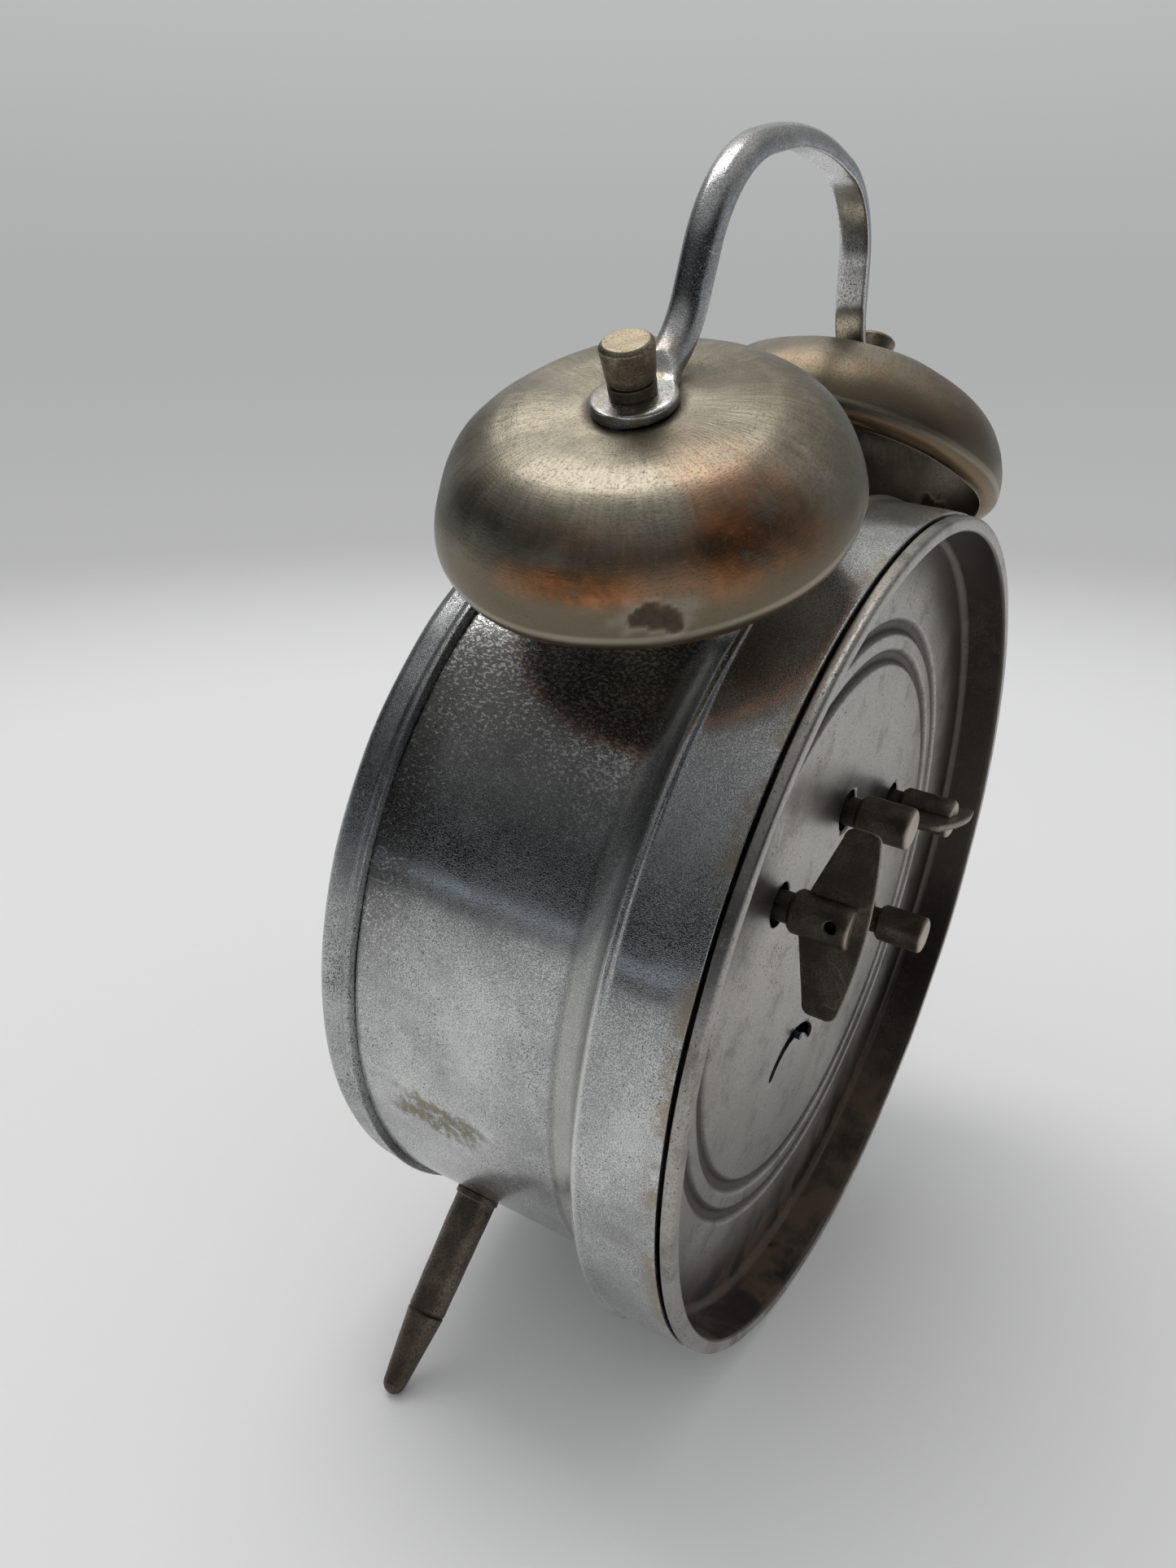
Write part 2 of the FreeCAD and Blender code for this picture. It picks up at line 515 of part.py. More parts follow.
# the foot's round end touches the same level as the ring's rear edge once the clock leans back
standHeight = size("ringRadius") * math.cos(leanAngle) + size("ringRear") * math.sin(leanAngle)
legReach = (standHeight - size("legDepth") * math.sin(leanAngle) - size("legTip")) / (
    math.cos(legAngle) * math.cos(leanAngle)) + size("legTip")
legBand = size("barrelRadius") + size("legBand") * (legReach - size("barrelRadius"))
footNuts = []
for label, lean in (("left", -1), ("right", 1)):
    place = outwards(lean * (180 - size("legAngle")), "legDepth")
    turned("foot_" + label, [
        ("0", "barrelRadius - 4.5"), ("studRadius", "barrelRadius - 4.5"),
        ("studRadius", "barrelRadius + 0.1"), ("legCollar", "barrelRadius + 0.1"),
        ("legCollar", "barrelRadius + 0.9"), ("legRoot", "barrelRadius + 1.0"),
        ("legWaist", str(round(legBand - 0.2, 3))), ("legWaist - 0.2", str(round(legBand, 3))),
        ("legWaist", str(round(legBand + 0.2, 3))),
        ("legTip", str(round(legReach - size("legTip"), 3)), "legTip"),
        ("0", str(round(legReach, 3)))], place)
    nut = bar("leg_nut_" + label, "legNut", "barrelRadius - 3.6", "2.6", place)
    bore = bar("leg_nut_bore_" + label, "studRadius", "barrelRadius - 4", "4", place)
    footNuts.append(cutAway("leg_nut_cut_" + label, nut, [bore]))
keep("foot_nuts", fused("leg_nuts", footNuts))


# ---------------------------------------------------------------- gears
def gearFace(teeth, module, phase, addendum=0.7):
    # straight-flanked teeth with running clearance; the phase is the first tooth's angle in degrees
    pitch = module * teeth / 2
    pitchAngle = 2 * math.pi / teeth
    profile = [(pitch - 0.95 * module, 0.27), (pitch, 0.215), (pitch + addendum * module, 0.1)]
    corners = []
    for tooth in range(teeth):
        middle = math.radians(phase) + tooth * pitchAngle
        for radius, share in profile:
            corners.append((radius, middle - share * pitchAngle))
        for radius, share in profile[::-1]:
            corners.append((radius, middle + share * pitchAngle))
    points = [Vector(radius * math.cos(angle), 0, radius * math.sin(angle))
              for radius, angle in corners]
    return Part.Face(Part.makePolygon(points + points[:1]))


def gear(teeth, module, rear, front, phase, bore=None, addendum=0.7):
    face = gearFace(int(size(teeth)), size(module), phase, addendum)
    face.translate(Vector(0, size(front), 0))
    solid = face.extrude(Vector(0, size(rear) - size(front), 0))
    return solid.cut(disc(bore, rear, front)) if bore else solid


def disc(radius, rear, front, across=0, height=0):
    return Part.makeCylinder(size(radius), size(rear) - size(front),
                             Vector(across, size(front), height), Vector(0, 1, 0))


def saw(teeth, radius, depth, rear, front, bore=None, lean=0.0):
    # a ratchet or escape wheel: every tooth has one steep and one sloping flank
    points = []
    for tooth in range(int(size(teeth))):
        angle = 2 * math.pi * tooth / size(teeth)
        for reach, share in ((size(radius), lean), (size(radius) - depth, lean + 0.12),
                             (size(radius) - depth, lean + 0.45)):
            turn = angle + share * 2 * math.pi / size(teeth)
            points.append(Vector(reach * math.cos(turn), size(front), reach * math.sin(turn)))
    solid = Part.Face(Part.makePolygon(points + points[:1])).extrude(
        Vector(0, size(rear) - size(front), 0))
    return solid.cut(disc(bore, rear, front)) if bore else solid


def joined(shapes):
    return shapes[0].fuse(shapes[1:]).removeSplitter()


def meshPhase(phase, teeth, otherTeeth, bearing):
    # the follower's phase that puts one of its gaps on the first wheel's tooth along the bearing
    pitchAngle, otherPitch = 360 / size(teeth), 360 / size(otherTeeth)
    return bearing + 180 - (phase - bearing) * otherPitch / pitchAngle + otherPitch / 2


def bearingOf(start, end):
    return math.degrees(math.atan2(end[1] - start[1], end[0] - start[0]))


def stepTo(start, bearing, distance):
    turn = math.radians(bearing)
    return (start[0] + distance * math.cos(turn), start[1] + distance * math.sin(turn))


def centres(module, teeth, leaves):
    return size(module) * (size(teeth) + size(leaves)) / 2


# arbor positions (x, z)
centre = (0.0, 0.0)
timeGreat = (size("keyAcross"), size("keyHeight"))
alarmGreat = (-size("keyAcross"), size("keyHeight"))
third = stepTo(centre, size("thirdBearing"), centres("centreModule", "centreTeeth", "thirdLeaves"))
fourth = stepTo(third, size("fourthBearing"), centres("thirdModule", "thirdTeeth", "fourthLeaves"))
escape = stepTo(fourth, size("escapeBearing"), centres("fourthModule", "fourthTeeth", "escapeLeaves"))
pallet = (size("palletAcross"), size("palletHeight"))
balance = (size("balanceAcross"), size("balanceHeight"))
minute = (size("minuteAcross"), size("minuteHeight"))
alarmSet = (0.0, size("alarmKnobHeight"))
timeSet = (size("timeKnobAcross"), size("timeKnobHeight"))
hammer = (0.0, size("hammerPivot"))
alarmEscape = stepTo(alarmGreat, bearingOf(alarmGreat, hammer),
                     centres("motionModule", "alarmGreatTeeth", "alarmLeaves"))

# ---------------------------------------------------------------- movement frame
upper = [(lean * size("pillarCircle * sin(bellAngle)"), size("pillarCircle * cos(bellAngle)"))
         for lean in (-1, 1)]
lower = [(size("sidePillar"), size("sidePillarHeight")), (-size("sidePillar"), size("sidePillarHeight")),
         (size("lowPillarAcross"), size("lowPillarHeight"))]
studs = [(spot[0], spot[1], "pillarStud") for spot in upper + lower]
turning = size("windingRadius + runningGap")
slim = size("arborRadius + runningGap")
fine = size("pivotRadius + runningGap")
backHoles = studs + [timeGreat + (turning,), alarmGreat + (turning,), centre + (fine,), third + (fine,),
                     fourth + (fine,), escape + (fine,), pallet + (fine,), balance + (fine,),
                     alarmSet + (slim,), timeSet + (slim,), hammer + (fine,), alarmEscape + (fine,)]
frontHoles = [hole for hole in backHoles if hole[:2] != centre] + [centre + (slim,)]
backSheet = padded("back_sheet", "backPlate", "backPlate - plateGauge",
                   circles=[("0", "0", "plateRadius")] + backHoles)
bush = cutAway("regulator_bush",
               bar("bush_stock", "regulatorBore - runningGap", "backPlate", "1.2", at(balance)),
               [bar("bush_bore", "pivotRadius + runningGap", "backPlate - 1", "4", at(balance))])
keep("back_plate", fused("back_plate_riveted", [backSheet, bush]))
frontSheet = padded("front_sheet", "frontPlate", "frontPlate - plateGauge",
                    circles=[("0", "0", "plateRadius")] + frontHoles)
stud = bar("minute_stud", "minuteStud", "frontPlate - plateGauge - 3.6", "3.6", at(minute))
keep("front_plate", fused("front_plate_riveted", [frontSheet, stud]))
pillars = []
for spot in upper + lower:
    shaft = joined([disc("pillarRadius", "backPlate - plateGauge", "frontPlate", *spot),
                    disc("pillarStud", "backPlate + pillarNutGauge + 0.1",
                         "frontPlate - plateGauge - pillarNutGauge - 0.1", *spot)])
    pillars.append(shaft)
for number, lean in enumerate((-1, 1)):
    drill = outwards(lean * size("bellAngle"), "bellDepth")
    tapped = Part.makeCylinder(size("studRadius"), 6, Vector(0, size("pillarCircle") - 1, 0),
                               Vector(0, 1, 0))
    tapped.Placement = drill
    pillars[number] = pillars[number].cut(tapped)
shaped("frame_pillars", Part.makeCompound(pillars))
nuts = []
for spot in upper + lower:
    for rear, front in (("backPlate + pillarNutGauge", "backPlate"),
                        ("frontPlate - plateGauge", "frontPlate - plateGauge - pillarNutGauge")):
        bored = disc("pillarNut", rear, front, *spot).cut(disc("pillarStud", rear, front, *spot))
        nuts.append(bored)
shaped("pillar_nuts", Part.makeCompound(nuts))


# ---------------------------------------------------------------- springs
def coil(inner, outer, turns, strip, rear, front, start=0.0):
    # an even spiral strip; both faces of the strip are smooth curves through the spiral's points
    steps = int(turns * 16)
    curves = []
    for offset in (-strip / 2, strip / 2):
        points = []
        for step in range(steps + 1):
            share = step / steps
            radius = inner + (outer - inner) * share + offset
            angle = math.radians(start) + share * turns * 2 * math.pi
            points.append(Vector(radius * math.cos(angle), size(front), radius * math.sin(angle)))
        curve = Part.BSplineCurve()
        curve.interpolate(points)
        curves.append((curve.toShape(), points[0], points[-1]))
    edges = [curves[0][0], Part.LineSegment(curves[0][2], curves[1][2]).toShape(),
             curves[1][0], Part.LineSegment(curves[0][1], curves[1][1]).toShape()]
    return Part.Face(Part.Wire(Part.__sortEdges__(edges))).extrude(
        Vector(0, size(rear) - size(front), 0))


for name, spot, reach, turns in (("time", timeGreat, 14.2, 10), ("alarm", alarmGreat, 11.6, 8)):
    shaped(name + "_mainspring", coil(3.0, reach, turns, size("springGauge"), "springRear - springEdge",
                                      "springFront + springEdge"), at(spot))
shaped("hairspring", coil(1.3, 5.2, 9, size("hairspringGauge"), "hairspringRear",
                          "hairspringRear - hairspringWidth"), at(balance))


# ---------------------------------------------------------------- time train
def arbor(label, spot, steps):
    # steps are (radius, rear, front), touching end to end
    return shaped(label, joined([disc(*step) for step in steps]), at(spot))


pivots = ("pivotRadius", "backPlate", "frontPlate - plateGauge")
between = ("arborRadius", "backPlate - plateGauge - 0.3", "frontPlate + 0.3")
phases = {"great": 0.0}
phases["centreLeaves"] = meshPhase(0, "greatTeeth", "centreLeaves", bearingOf(timeGreat, centre))
phases["thirdLeaves"] = meshPhase(0, "centreTeeth", "thirdLeaves", bearingOf(centre, third))
phases["fourthLeaves"] = meshPhase(0, "thirdTeeth", "fourthLeaves", bearingOf(third, fourth))
phases["escapeLeaves"] = meshPhase(0, "fourthTeeth", "escapeLeaves", bearingOf(fourth, escape))
phases["alarmLeaves"] = meshPhase(0, "alarmGreatTeeth", "alarmLeaves",
                                  bearingOf(alarmGreat, alarmEscape))
phases["minute"] = meshPhase(0, "cannonTeeth", "minuteTeeth", bearingOf(centre, minute))
phases["timeSet"] = meshPhase(phases["minute"], "minuteTeeth", "setTeeth",
                              bearingOf(minute, timeSet))
phases["hour"] = meshPhase(0, "minuteLeaves", "hourTeeth", bearingOf(minute, centre))
phases["alarmSet"] = meshPhase(0, "alarmTeeth", "alarmSetTeeth", bearingOf(centre, alarmSet))


def windingWork(name, spot, module, teeth):
    arbor(name + "_winding_arbor", spot, [
        ("threadRadius", "threadRear - 0.05", "neckFront - 0.05"),
        ("windingRadius", "neckFront - 0.05", "springRear"),
        ("springCore", "springRear", "springFront"),
        ("windingRadius", "springFront", "frontPlate - plateGauge - 0.3")])
    shaped(name + "_ratchet", saw("ratchetTeeth", "ratchetRadius", 0.9, "ratchetRear",
                                  "ratchetRear - ratchetGauge", "windingRadius"), at(spot))
    shaped(name + "_great_wheel", gear(teeth, module, "greatRear", "greatRear - greatGauge",
                                       phases["great"], "windingRadius + runningGap"), at(spot))
    # the click rides on the ratchet's tooth tips, on a rivet in the great wheel
    front = size("ratchetRear - ratchetGauge")
    pawl = Part.Face(Part.makePolygon([Vector(across, front, height) for across, height in (
        (8.2, -1.2), (9.8, -1.2), (9.8, 1.2), (7.4, 3.4), (5.2, 3.9), (5.0, 3.2), (7.4, 1.6),
        (8.2, -1.2))])).extrude(Vector(0, size("ratchetGauge"), 0))
    rivet = disc("clickRivet", "ratchetRear + 0.2", "greatRear + 0.05", size("clickAcross"))
    shaped(name + "_click", joined([pawl, rivet]), at(spot))


windingWork("time", timeGreat, "greatModule", "greatTeeth")
windingWork("alarm", alarmGreat, "motionModule", "alarmGreatTeeth")
shaped("centre_arbor", joined([
    disc("pivotRadius", "backPlate", "backPlate - plateGauge - 0.3"),
    disc("arborRadius", "backPlate - plateGauge - 0.3", "handEnd"),
    gear("centreLeaves", "greatModule", "greatRear + 0.3", "greatRear - greatGauge - 0.3",
         phases["centreLeaves"])]))


def wheelSpan(rear):
    return rear, rear + " - wheelGauge"


def leafSpan(rear):
    # a pinion stands proud of the wheel that drives it on both sides
    return rear + " + leafOverhang", rear + " - wheelGauge - leafOverhang"


shaped("centre_wheel", gear("centreTeeth", "centreModule", *wheelSpan("centreRear"), 0, "arborRadius"))
for label, spot, leaves, module, driver, wheel in (
        ("third", third, "thirdLeaves", "centreModule", "centreRear",
         ("thirdTeeth", "thirdModule", *wheelSpan("thirdRear"))),
        ("fourth", fourth, "fourthLeaves", "thirdModule", "thirdRear",
         ("fourthTeeth", "fourthModule", *wheelSpan("fourthRear")))):
    room = disc("arborRadius", *leafSpan(driver))
    pinion = gear(leaves, module, *leafSpan(driver), phases[leaves])
    shaped(label + "_arbor", joined([disc(*pivots), disc(*between).cut(room), pinion]), at(spot))
    shaped(label + "_wheel", gear(*wheel, 0, "arborRadius"), at(spot))
shaped("escape_wheel", joined([
    disc(*pivots),
    gear("escapeLeaves", "fourthModule", *leafSpan("fourthRear"), phases["escapeLeaves"]),
    saw("escapeTeeth", "escapeRadius", 1.5, *wheelSpan("escapeRear"))]), at(escape))


def strip(start, end, width, rear, front):
    # a flat bar between two (x, z) points
    along = Vector(end[0] - start[0], 0, end[1] - start[1])
    half = Vector(-along.z, 0, along.x).normalize() * (width / 2)
    first, last = Vector(start[0], size(front), start[1]), Vector(end[0], size(front), end[1])
    corners = [first - half, last - half, last + half, first + half, first - half]
    return Part.Face(Part.makePolygon(corners)).extrude(Vector(0, size(rear) - size(front), 0))


# the fork stops just short of the balance's pin, and its own pins just clear the escape wheel
towardsBalance, towardsEscape = bearingOf(pallet, balance), bearingOf(pallet, escape)
forkReach = math.dist(pallet, balance) - 2.3
forkTips = [stepTo((0, 0), towardsBalance + spread, forkReach) for spread in (-5, 5)]
forkEnd = stepTo((0, 0), towardsBalance, forkReach - 1.4)
palletPins = [stepTo((0, 0), towardsEscape + spread, 3.2) for spread in (-50, 50)]
forkSpan = ("forkRear", "forkRear - forkGauge")
shaped("pallet_fork", joined(
    [disc(*pivots), disc("1.3", *forkSpan), strip((0, 0), forkEnd, 1.2, *forkSpan)]
    + [strip(forkEnd, tip, 0.6, *forkSpan) for tip in forkTips]
    + [strip((0, 0), tip, 1.0, *forkSpan) for tip in palletPins]
    + [disc("smallPin", "forkRear", "forkPinFront", *tip) for tip in palletPins]), at(pallet))
rimSpan = ("balanceRear", "balanceRear - balanceGauge")
rim = disc("balanceRadius", *rimSpan).cut(disc("balanceRadius - 1.2", *rimSpan))
impulsePin = stepTo((0, 0), towardsBalance + 180, 1.7)
shaped("balance_wheel", joined([
    disc(*pivots), rim,
    disc("1.7", "balanceRear + hubOverhang", "balanceRear - balanceGauge - hubOverhang"),
    strip((-size("balanceRadius") + 0.6, 0), (size("balanceRadius") - 0.6, 0), 1.6,
          "balanceRear - 0.4", "balanceRear - 1.0"),
    disc("2.2", "rollerRear", "rollerRear - rollerGauge"),
    disc("smallPin", "rollerRear - rollerGauge", "forkRear - 0.6", *impulsePin)]), at(balance))
pointer = (0.0, size("slotRadius"))
leverSpan = ("regulatorRear", "regulatorRear - regulatorGauge")
shaped("regulator", joined([
    disc("2.9", *leverSpan), strip((0, 0), pointer, 1.5, *leverSpan),
    disc("0.75", *leverSpan, *pointer), disc("0.5", "pointerRear", leverSpan[1], *pointer)]).cut(
        disc("regulatorBore", "regulatorRear + 1", "regulatorRear - 1.5")), at(balance))

# ---------------------------------------------------------------- motion work and hands
tubes = {"cannon": 1.6, "hour": 2.4, "alarm": 3.15}


def tubed(label, wheels, radius, bore, rear, front):
    # wheels on a tube that carries a hand at its front end
    shapes = wheels + [disc(str(radius), rear, front)]
    shaped(label, joined(shapes).cut(disc(str(bore), "frontPlate", "glassRear")))


gap = size("runningGap")
tubed("cannon_pinion",
      [gear("cannonTeeth", "motionModule", "cannonRear", "cannonRear - cannonGauge", 0)],
      tubes["cannon"], size("arborRadius") + gap, "cannonRear", "minuteHandRear - handGauge")
tubed("hour_wheel", [gear("hourTeeth", "hourModule", *wheelSpan("hourRear"), phases["hour"])],
      tubes["hour"], tubes["cannon"] + gap, "hourRear + 0.2", "hourHandRear - handGauge")
tubed("alarm_wheel", [gear("alarmTeeth", "motionModule", *wheelSpan("alarmRear"), 0)],
      tubes["alarm"], tubes["hour"] + gap, "alarmRear + 0.4", "alarmHandRear - handGauge")
shaped("minute_wheel", joined([
    gear("minuteTeeth", "motionModule", *wheelSpan("minuteRear"), phases["minute"]),
    gear("minuteLeaves", "hourModule", "minuteRear - wheelGauge", "minuteFront", 0)]).cut(
        disc("minuteStud + runningGap", "frontPlate - plateGauge", "minuteFront - 1")), at(minute))
for label, spot, teeth, front, phase in (
        ("time_set_arbor", timeSet, "setTeeth", "minuteRear - 1.0", phases["timeSet"]),
        ("alarm_set_arbor", alarmSet, "alarmSetTeeth", "alarmRear - 0.9", phases["alarmSet"])):
    shaped(label, joined([
        disc("threadRadius", "threadRear - 0.05", "neckFront - 0.05"),
        disc("arborRadius", "neckFront - 0.05", front),
        gear(teeth, "motionModule", front + " + 1.0", front, phase)]), at(spot))


def hand(label, bore, boss, length, width, rear, hour):
    # a hand with a round boss, a waist, a long leaf and a tail, turned to its place on the dial
    thick = size("handGauge")
    rear = size(rear)
    front = rear - thick
    leaf = [(-width * 0.35, 0), (-width * 0.5, length * 0.35), (-width * 0.16, length * 0.82),
            (0, length), (width * 0.16, length * 0.82), (width * 0.5, length * 0.35),
            (width * 0.35, 0), (width * 0.3, -length * 0.22), (-width * 0.3, -length * 0.22)]
    points = [Vector(across, front, height) for across, height in leaf]
    blade = Part.Face(Part.makePolygon(points + points[:1])).extrude(Vector(0, thick, 0))
    shape = joined([blade, disc(str(boss), str(rear), str(front))]).cut(
        disc(str(bore), str(rear + 1), str(front - 1)))
    shaped(label, shape, Placement(Vector(), Rotation(Vector(0, 1, 0), hour * 30)))


hand("alarm_hand", tubes["alarm"], 4.4, 22, 2.2, "alarmHandRear", 6.5)
hand("hour_hand", tubes["hour"], 3.6, 26, 4.4, "hourHandRear", 10.15)
hand("minute_hand", tubes["cannon"], 2.8, 38, 3.6, "minuteHandRear", 1.8)

# ---------------------------------------------------------------- alarm train and hammer
shaped("alarm_escape_wheel", joined([
    disc(*pivots), gear("alarmLeaves", "motionModule", "alarmLeafRear", "alarmLeafRear - 1.8",
                        phases["alarmLeaves"]),
    saw("alarmEscapeTeeth", "alarmEscapeRadius", 1.3, *wheelSpan("alarmEscapeRear"))]),
    at(alarmEscape))
towardsAlarm = bearingOf(hammer, alarmEscape)
beaks = [stepTo((0, 0), towardsAlarm + spread, 4.6) for spread in (-38, 38)]
rod = Part.makeCylinder(size("hammerRod"), size("hammerHeight - hammerPivot") - 0.8,
                        Vector(0, size("bellDepth"), 0), Vector(0, 0, 1))
shaped("hammer_arm", joined(
    [disc(*pivots), disc("2.2", "bellDepth + 2", "bellDepth - 2"),
     disc("1.6", "alarmEscapeRear + 0.2", "alarmEscapeRear - wheelGauge - 0.2"), rod]
    + [strip((0, 0), beak, 1.1, *wheelSpan("alarmEscapeRear")) for beak in beaks]), at(hammer))
head = bar("head_stock", "hammerRadius", "-hammerLength / 2", "hammerLength", Placement(
    Vector(0, size("bellDepth"), size("hammerHeight")), Rotation(Vector(0, 0, 1), 90)))
headBore = bind(document.addObject("Part::Cylinder", "head_bore"), Radius="hammerRod", Height="4")
headBore.Placement = Placement(Vector(0, size("bellDepth"), size("hammerHeight") - 4.8), Rotation())
keep("hammer_head", cutAway("head_bored", head, [headBore]))

# ---------------------------------------------------------------- stand, checks and files
document.recompute()


def overallBox():
    box = FreeCAD.BoundBox()
    for thing in nodes.values():
        box.add(thing.Shape.optimalBoundingBox(False, False))
    return box


def standPlace():
    # leans the clock back, then lifts it to the ground and centres it in depth
    lean = Placement(Vector(), Rotation(Vector(1, 0, 0), -size("leanAngle")))
    for label, thing in nodes.items():
        thing.Placement = lean.multiply(ownPlaces[label])
    document.recompute()
    box = overallBox()
    shift = Vector(0, -(box.YMin + box.YMax) / 2, -box.ZMin)
    for label, thing in nodes.items():
        thing.Placement = Placement(shift, Rotation()).multiply(thing.Placement)
    document.recompute()
    return shift


shift = standPlace()
print("leans", size("leanAngle"), "degrees, moved", round(shift.y, 4), round(shift.z, 4))
print("overall box", overallBox())
for thing in document.Objects:
    if {"Invalid", "Error"} & set(thing.State):
        raise ValueError("%s is %s" % (thing.Label, thing.State))
os.makedirs("parts", exist_ok=True)
for label, thing in nodes.items():
    if thing.Shape.isNull() or not thing.Shape.isValid():
        raise ValueError("%s has no valid shape" % label)
    thing.Shape.exportStep("parts/%s.step" % label)
print(len(nodes), "nodes")
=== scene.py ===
import json
import math

import bpy
import numpy as np
from mathutils import Matrix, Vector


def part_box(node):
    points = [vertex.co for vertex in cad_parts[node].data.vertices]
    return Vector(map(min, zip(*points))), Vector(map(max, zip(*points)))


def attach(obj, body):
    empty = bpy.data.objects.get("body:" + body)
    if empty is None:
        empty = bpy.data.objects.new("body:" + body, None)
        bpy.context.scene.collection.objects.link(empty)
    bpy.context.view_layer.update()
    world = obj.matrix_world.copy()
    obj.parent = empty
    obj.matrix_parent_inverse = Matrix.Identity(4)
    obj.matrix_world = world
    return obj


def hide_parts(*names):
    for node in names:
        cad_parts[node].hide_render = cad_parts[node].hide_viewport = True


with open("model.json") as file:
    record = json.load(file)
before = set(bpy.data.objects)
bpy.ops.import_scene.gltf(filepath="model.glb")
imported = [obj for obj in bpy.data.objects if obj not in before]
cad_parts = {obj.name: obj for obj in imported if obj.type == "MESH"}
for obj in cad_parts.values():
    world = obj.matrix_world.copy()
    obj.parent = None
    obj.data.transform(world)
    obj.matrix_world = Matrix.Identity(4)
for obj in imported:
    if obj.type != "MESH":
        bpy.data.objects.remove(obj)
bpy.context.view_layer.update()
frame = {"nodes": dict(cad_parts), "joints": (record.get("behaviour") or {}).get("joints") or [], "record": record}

nodes = frame["nodes"]
joints = {joint["name"]: joint for joint in frame["joints"]}

# the drum's own frame: X across, Y along its axis towards the keys, Z up, in mm from the rear lip
axisDir = np.array(joints["centre_arbor_turn"]["axis"], float)
axisDir /= np.linalg.norm(axisDir)
acrossDir = np.array([1.0, 0.0, 0.0])
drumBasis = np.array([acrossDir, axisDir, np.cross(acrossDir, axisDir)])
arborSpot = np.array(joints["centre_arbor_turn"]["pos_m"])
keySpot = np.array(joints["time_key_wind"]["pos_m"])
lipSpot = arborSpot + axisDir * ((keySpot - arborSpot) @ axisDir)


def toRow(points):
    return lipSpot + np.asarray(points, float) @ drumBasis * 0.001


def spotOf(jointName):
    # where a joint's axis crosses the plane of the rear lip, across and up
    spot = (np.array(joints[jointName]["pos_m"]) - lipSpot) @ drumBasis.T * 1000
    return spot[0], spot[2]


# a place is a centre and three directions, and the piece is turned about the second one
drumPlace = (np.zeros(3), np.eye(3))


def outwards(angle, depth):
    # the second direction points away from the drum's axis, turned from straight up towards +X
    turn = math.radians(angle)
    sideways = np.array([math.cos(turn), 0, -math.sin(turn)])
    away = np.array([math.sin(turn), 0, math.cos(turn)])
    return np.array([0, depth, 0]), np.array([sideways, away, np.cross(sideways, away)])


def behind(jointName, turn=0):
    # about a joint's own axis, with the piece's Z turned from straight up towards +X
    across, height = spotOf(jointName)
    angle = math.radians(turn)
    sideways = np.array([math.cos(angle), 0, -math.sin(angle)])
    up = np.array([math.sin(angle), 0, math.cos(angle)])
    return np.array([across, 0, height]), np.array([sideways, [0, 1, 0], up])


def fromPlace(place, points):
    centre, basis = place
    return centre + np.asarray(points, float) @ basis


def axisAngle(place, node):
    # the angle from straight up towards +X at which a node stands
    low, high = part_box(node)
    middle = ((np.array(low) + np.array(high)) / 2 - lipSpot) @ drumBasis.T
    return round(math.degrees(math.atan2(middle[0], middle[2])), 1)


def waves(points, seed, length, height, count=14):
    # a sum of plane waves in random directions: shallow hollows of a given length, in mm
    rng = np.random.default_rng(seed)
    directions = rng.normal(size=(count, 3))
    directions *= (2 * math.pi / length / np.linalg.norm(directions, axis=1))[:, None]
    directions *= rng.uniform(0.6, 1.7, (count, 1))
    phases = rng.uniform(0, 2 * math.pi, count)
    return height * np.sin(points @ directions.T + phases).sum(-1) / math.sqrt(count)


def traceOutline(outline, closed, step=0.8, soft=0.12):
    # vertices are two numbers, then the radius of an arc that leaves the vertex, anticlockwise where
    # positive, then how far from the vertex its corner starts to be eased by a parabola
    corners = np.array([vertex[:2] for vertex in outline], float)
    bends = [vertex[2] if len(vertex) > 2 else 0 for vertex in outline]
    eases = [vertex[3] if len(vertex) > 3 else soft for vertex in outline]
    runs = []
    for index in range(len(outline) if closed else len(outline) - 1):
        onward = (index + 1) % len(corners)
        start, end = corners[index], corners[onward]
        chord = end - start
        length = np.linalg.norm(chord)
        leaving, reaching = (min(eases[spot], length * 0.4) / length for spot in (index, onward))
        count = max(3, int(math.ceil(length / step)) + 1)
        share = np.linspace(leaving, 1 - reaching, count)[:, None]
        if bends[index]:
            bend = bends[index]
            left = np.array([-chord[1], chord[0]]) / length
            rise = math.sqrt(max(bend * bend - length * length / 4, 0))
            centre = (start + end) / 2 + left * math.copysign(rise, bend)
            first = math.atan2(*(start - centre)[::-1])
            sweep = 2 * math.asin(min(1, length / 2 / abs(bend))) * math.copysign(1, bend)
            angle = first + sweep * share
            runs.append(centre + abs(bend) * np.hstack([np.cos(angle), np.sin(angle)]))
        else:
            runs.append(start + chord * share)
    points = [] if closed else [corners[:1], runs[0][:0]]
    for index, run in enumerate(runs):
        points.append(run)
        last = index == len(runs) - 1
        if last and not closed:
            points.append(corners[-1:])
            break
        corner = corners[(index + 1) % len(corners)]
        start, end = run[-1], runs[(index + 1) % len(runs)][0]
        share = np.linspace(0, 1, 6)[1:-1, None]
        points.append(start * (1 - share) ** 2 + 2 * corner * share * (1 - share) + end * share ** 2)
    return np.concatenate(points)


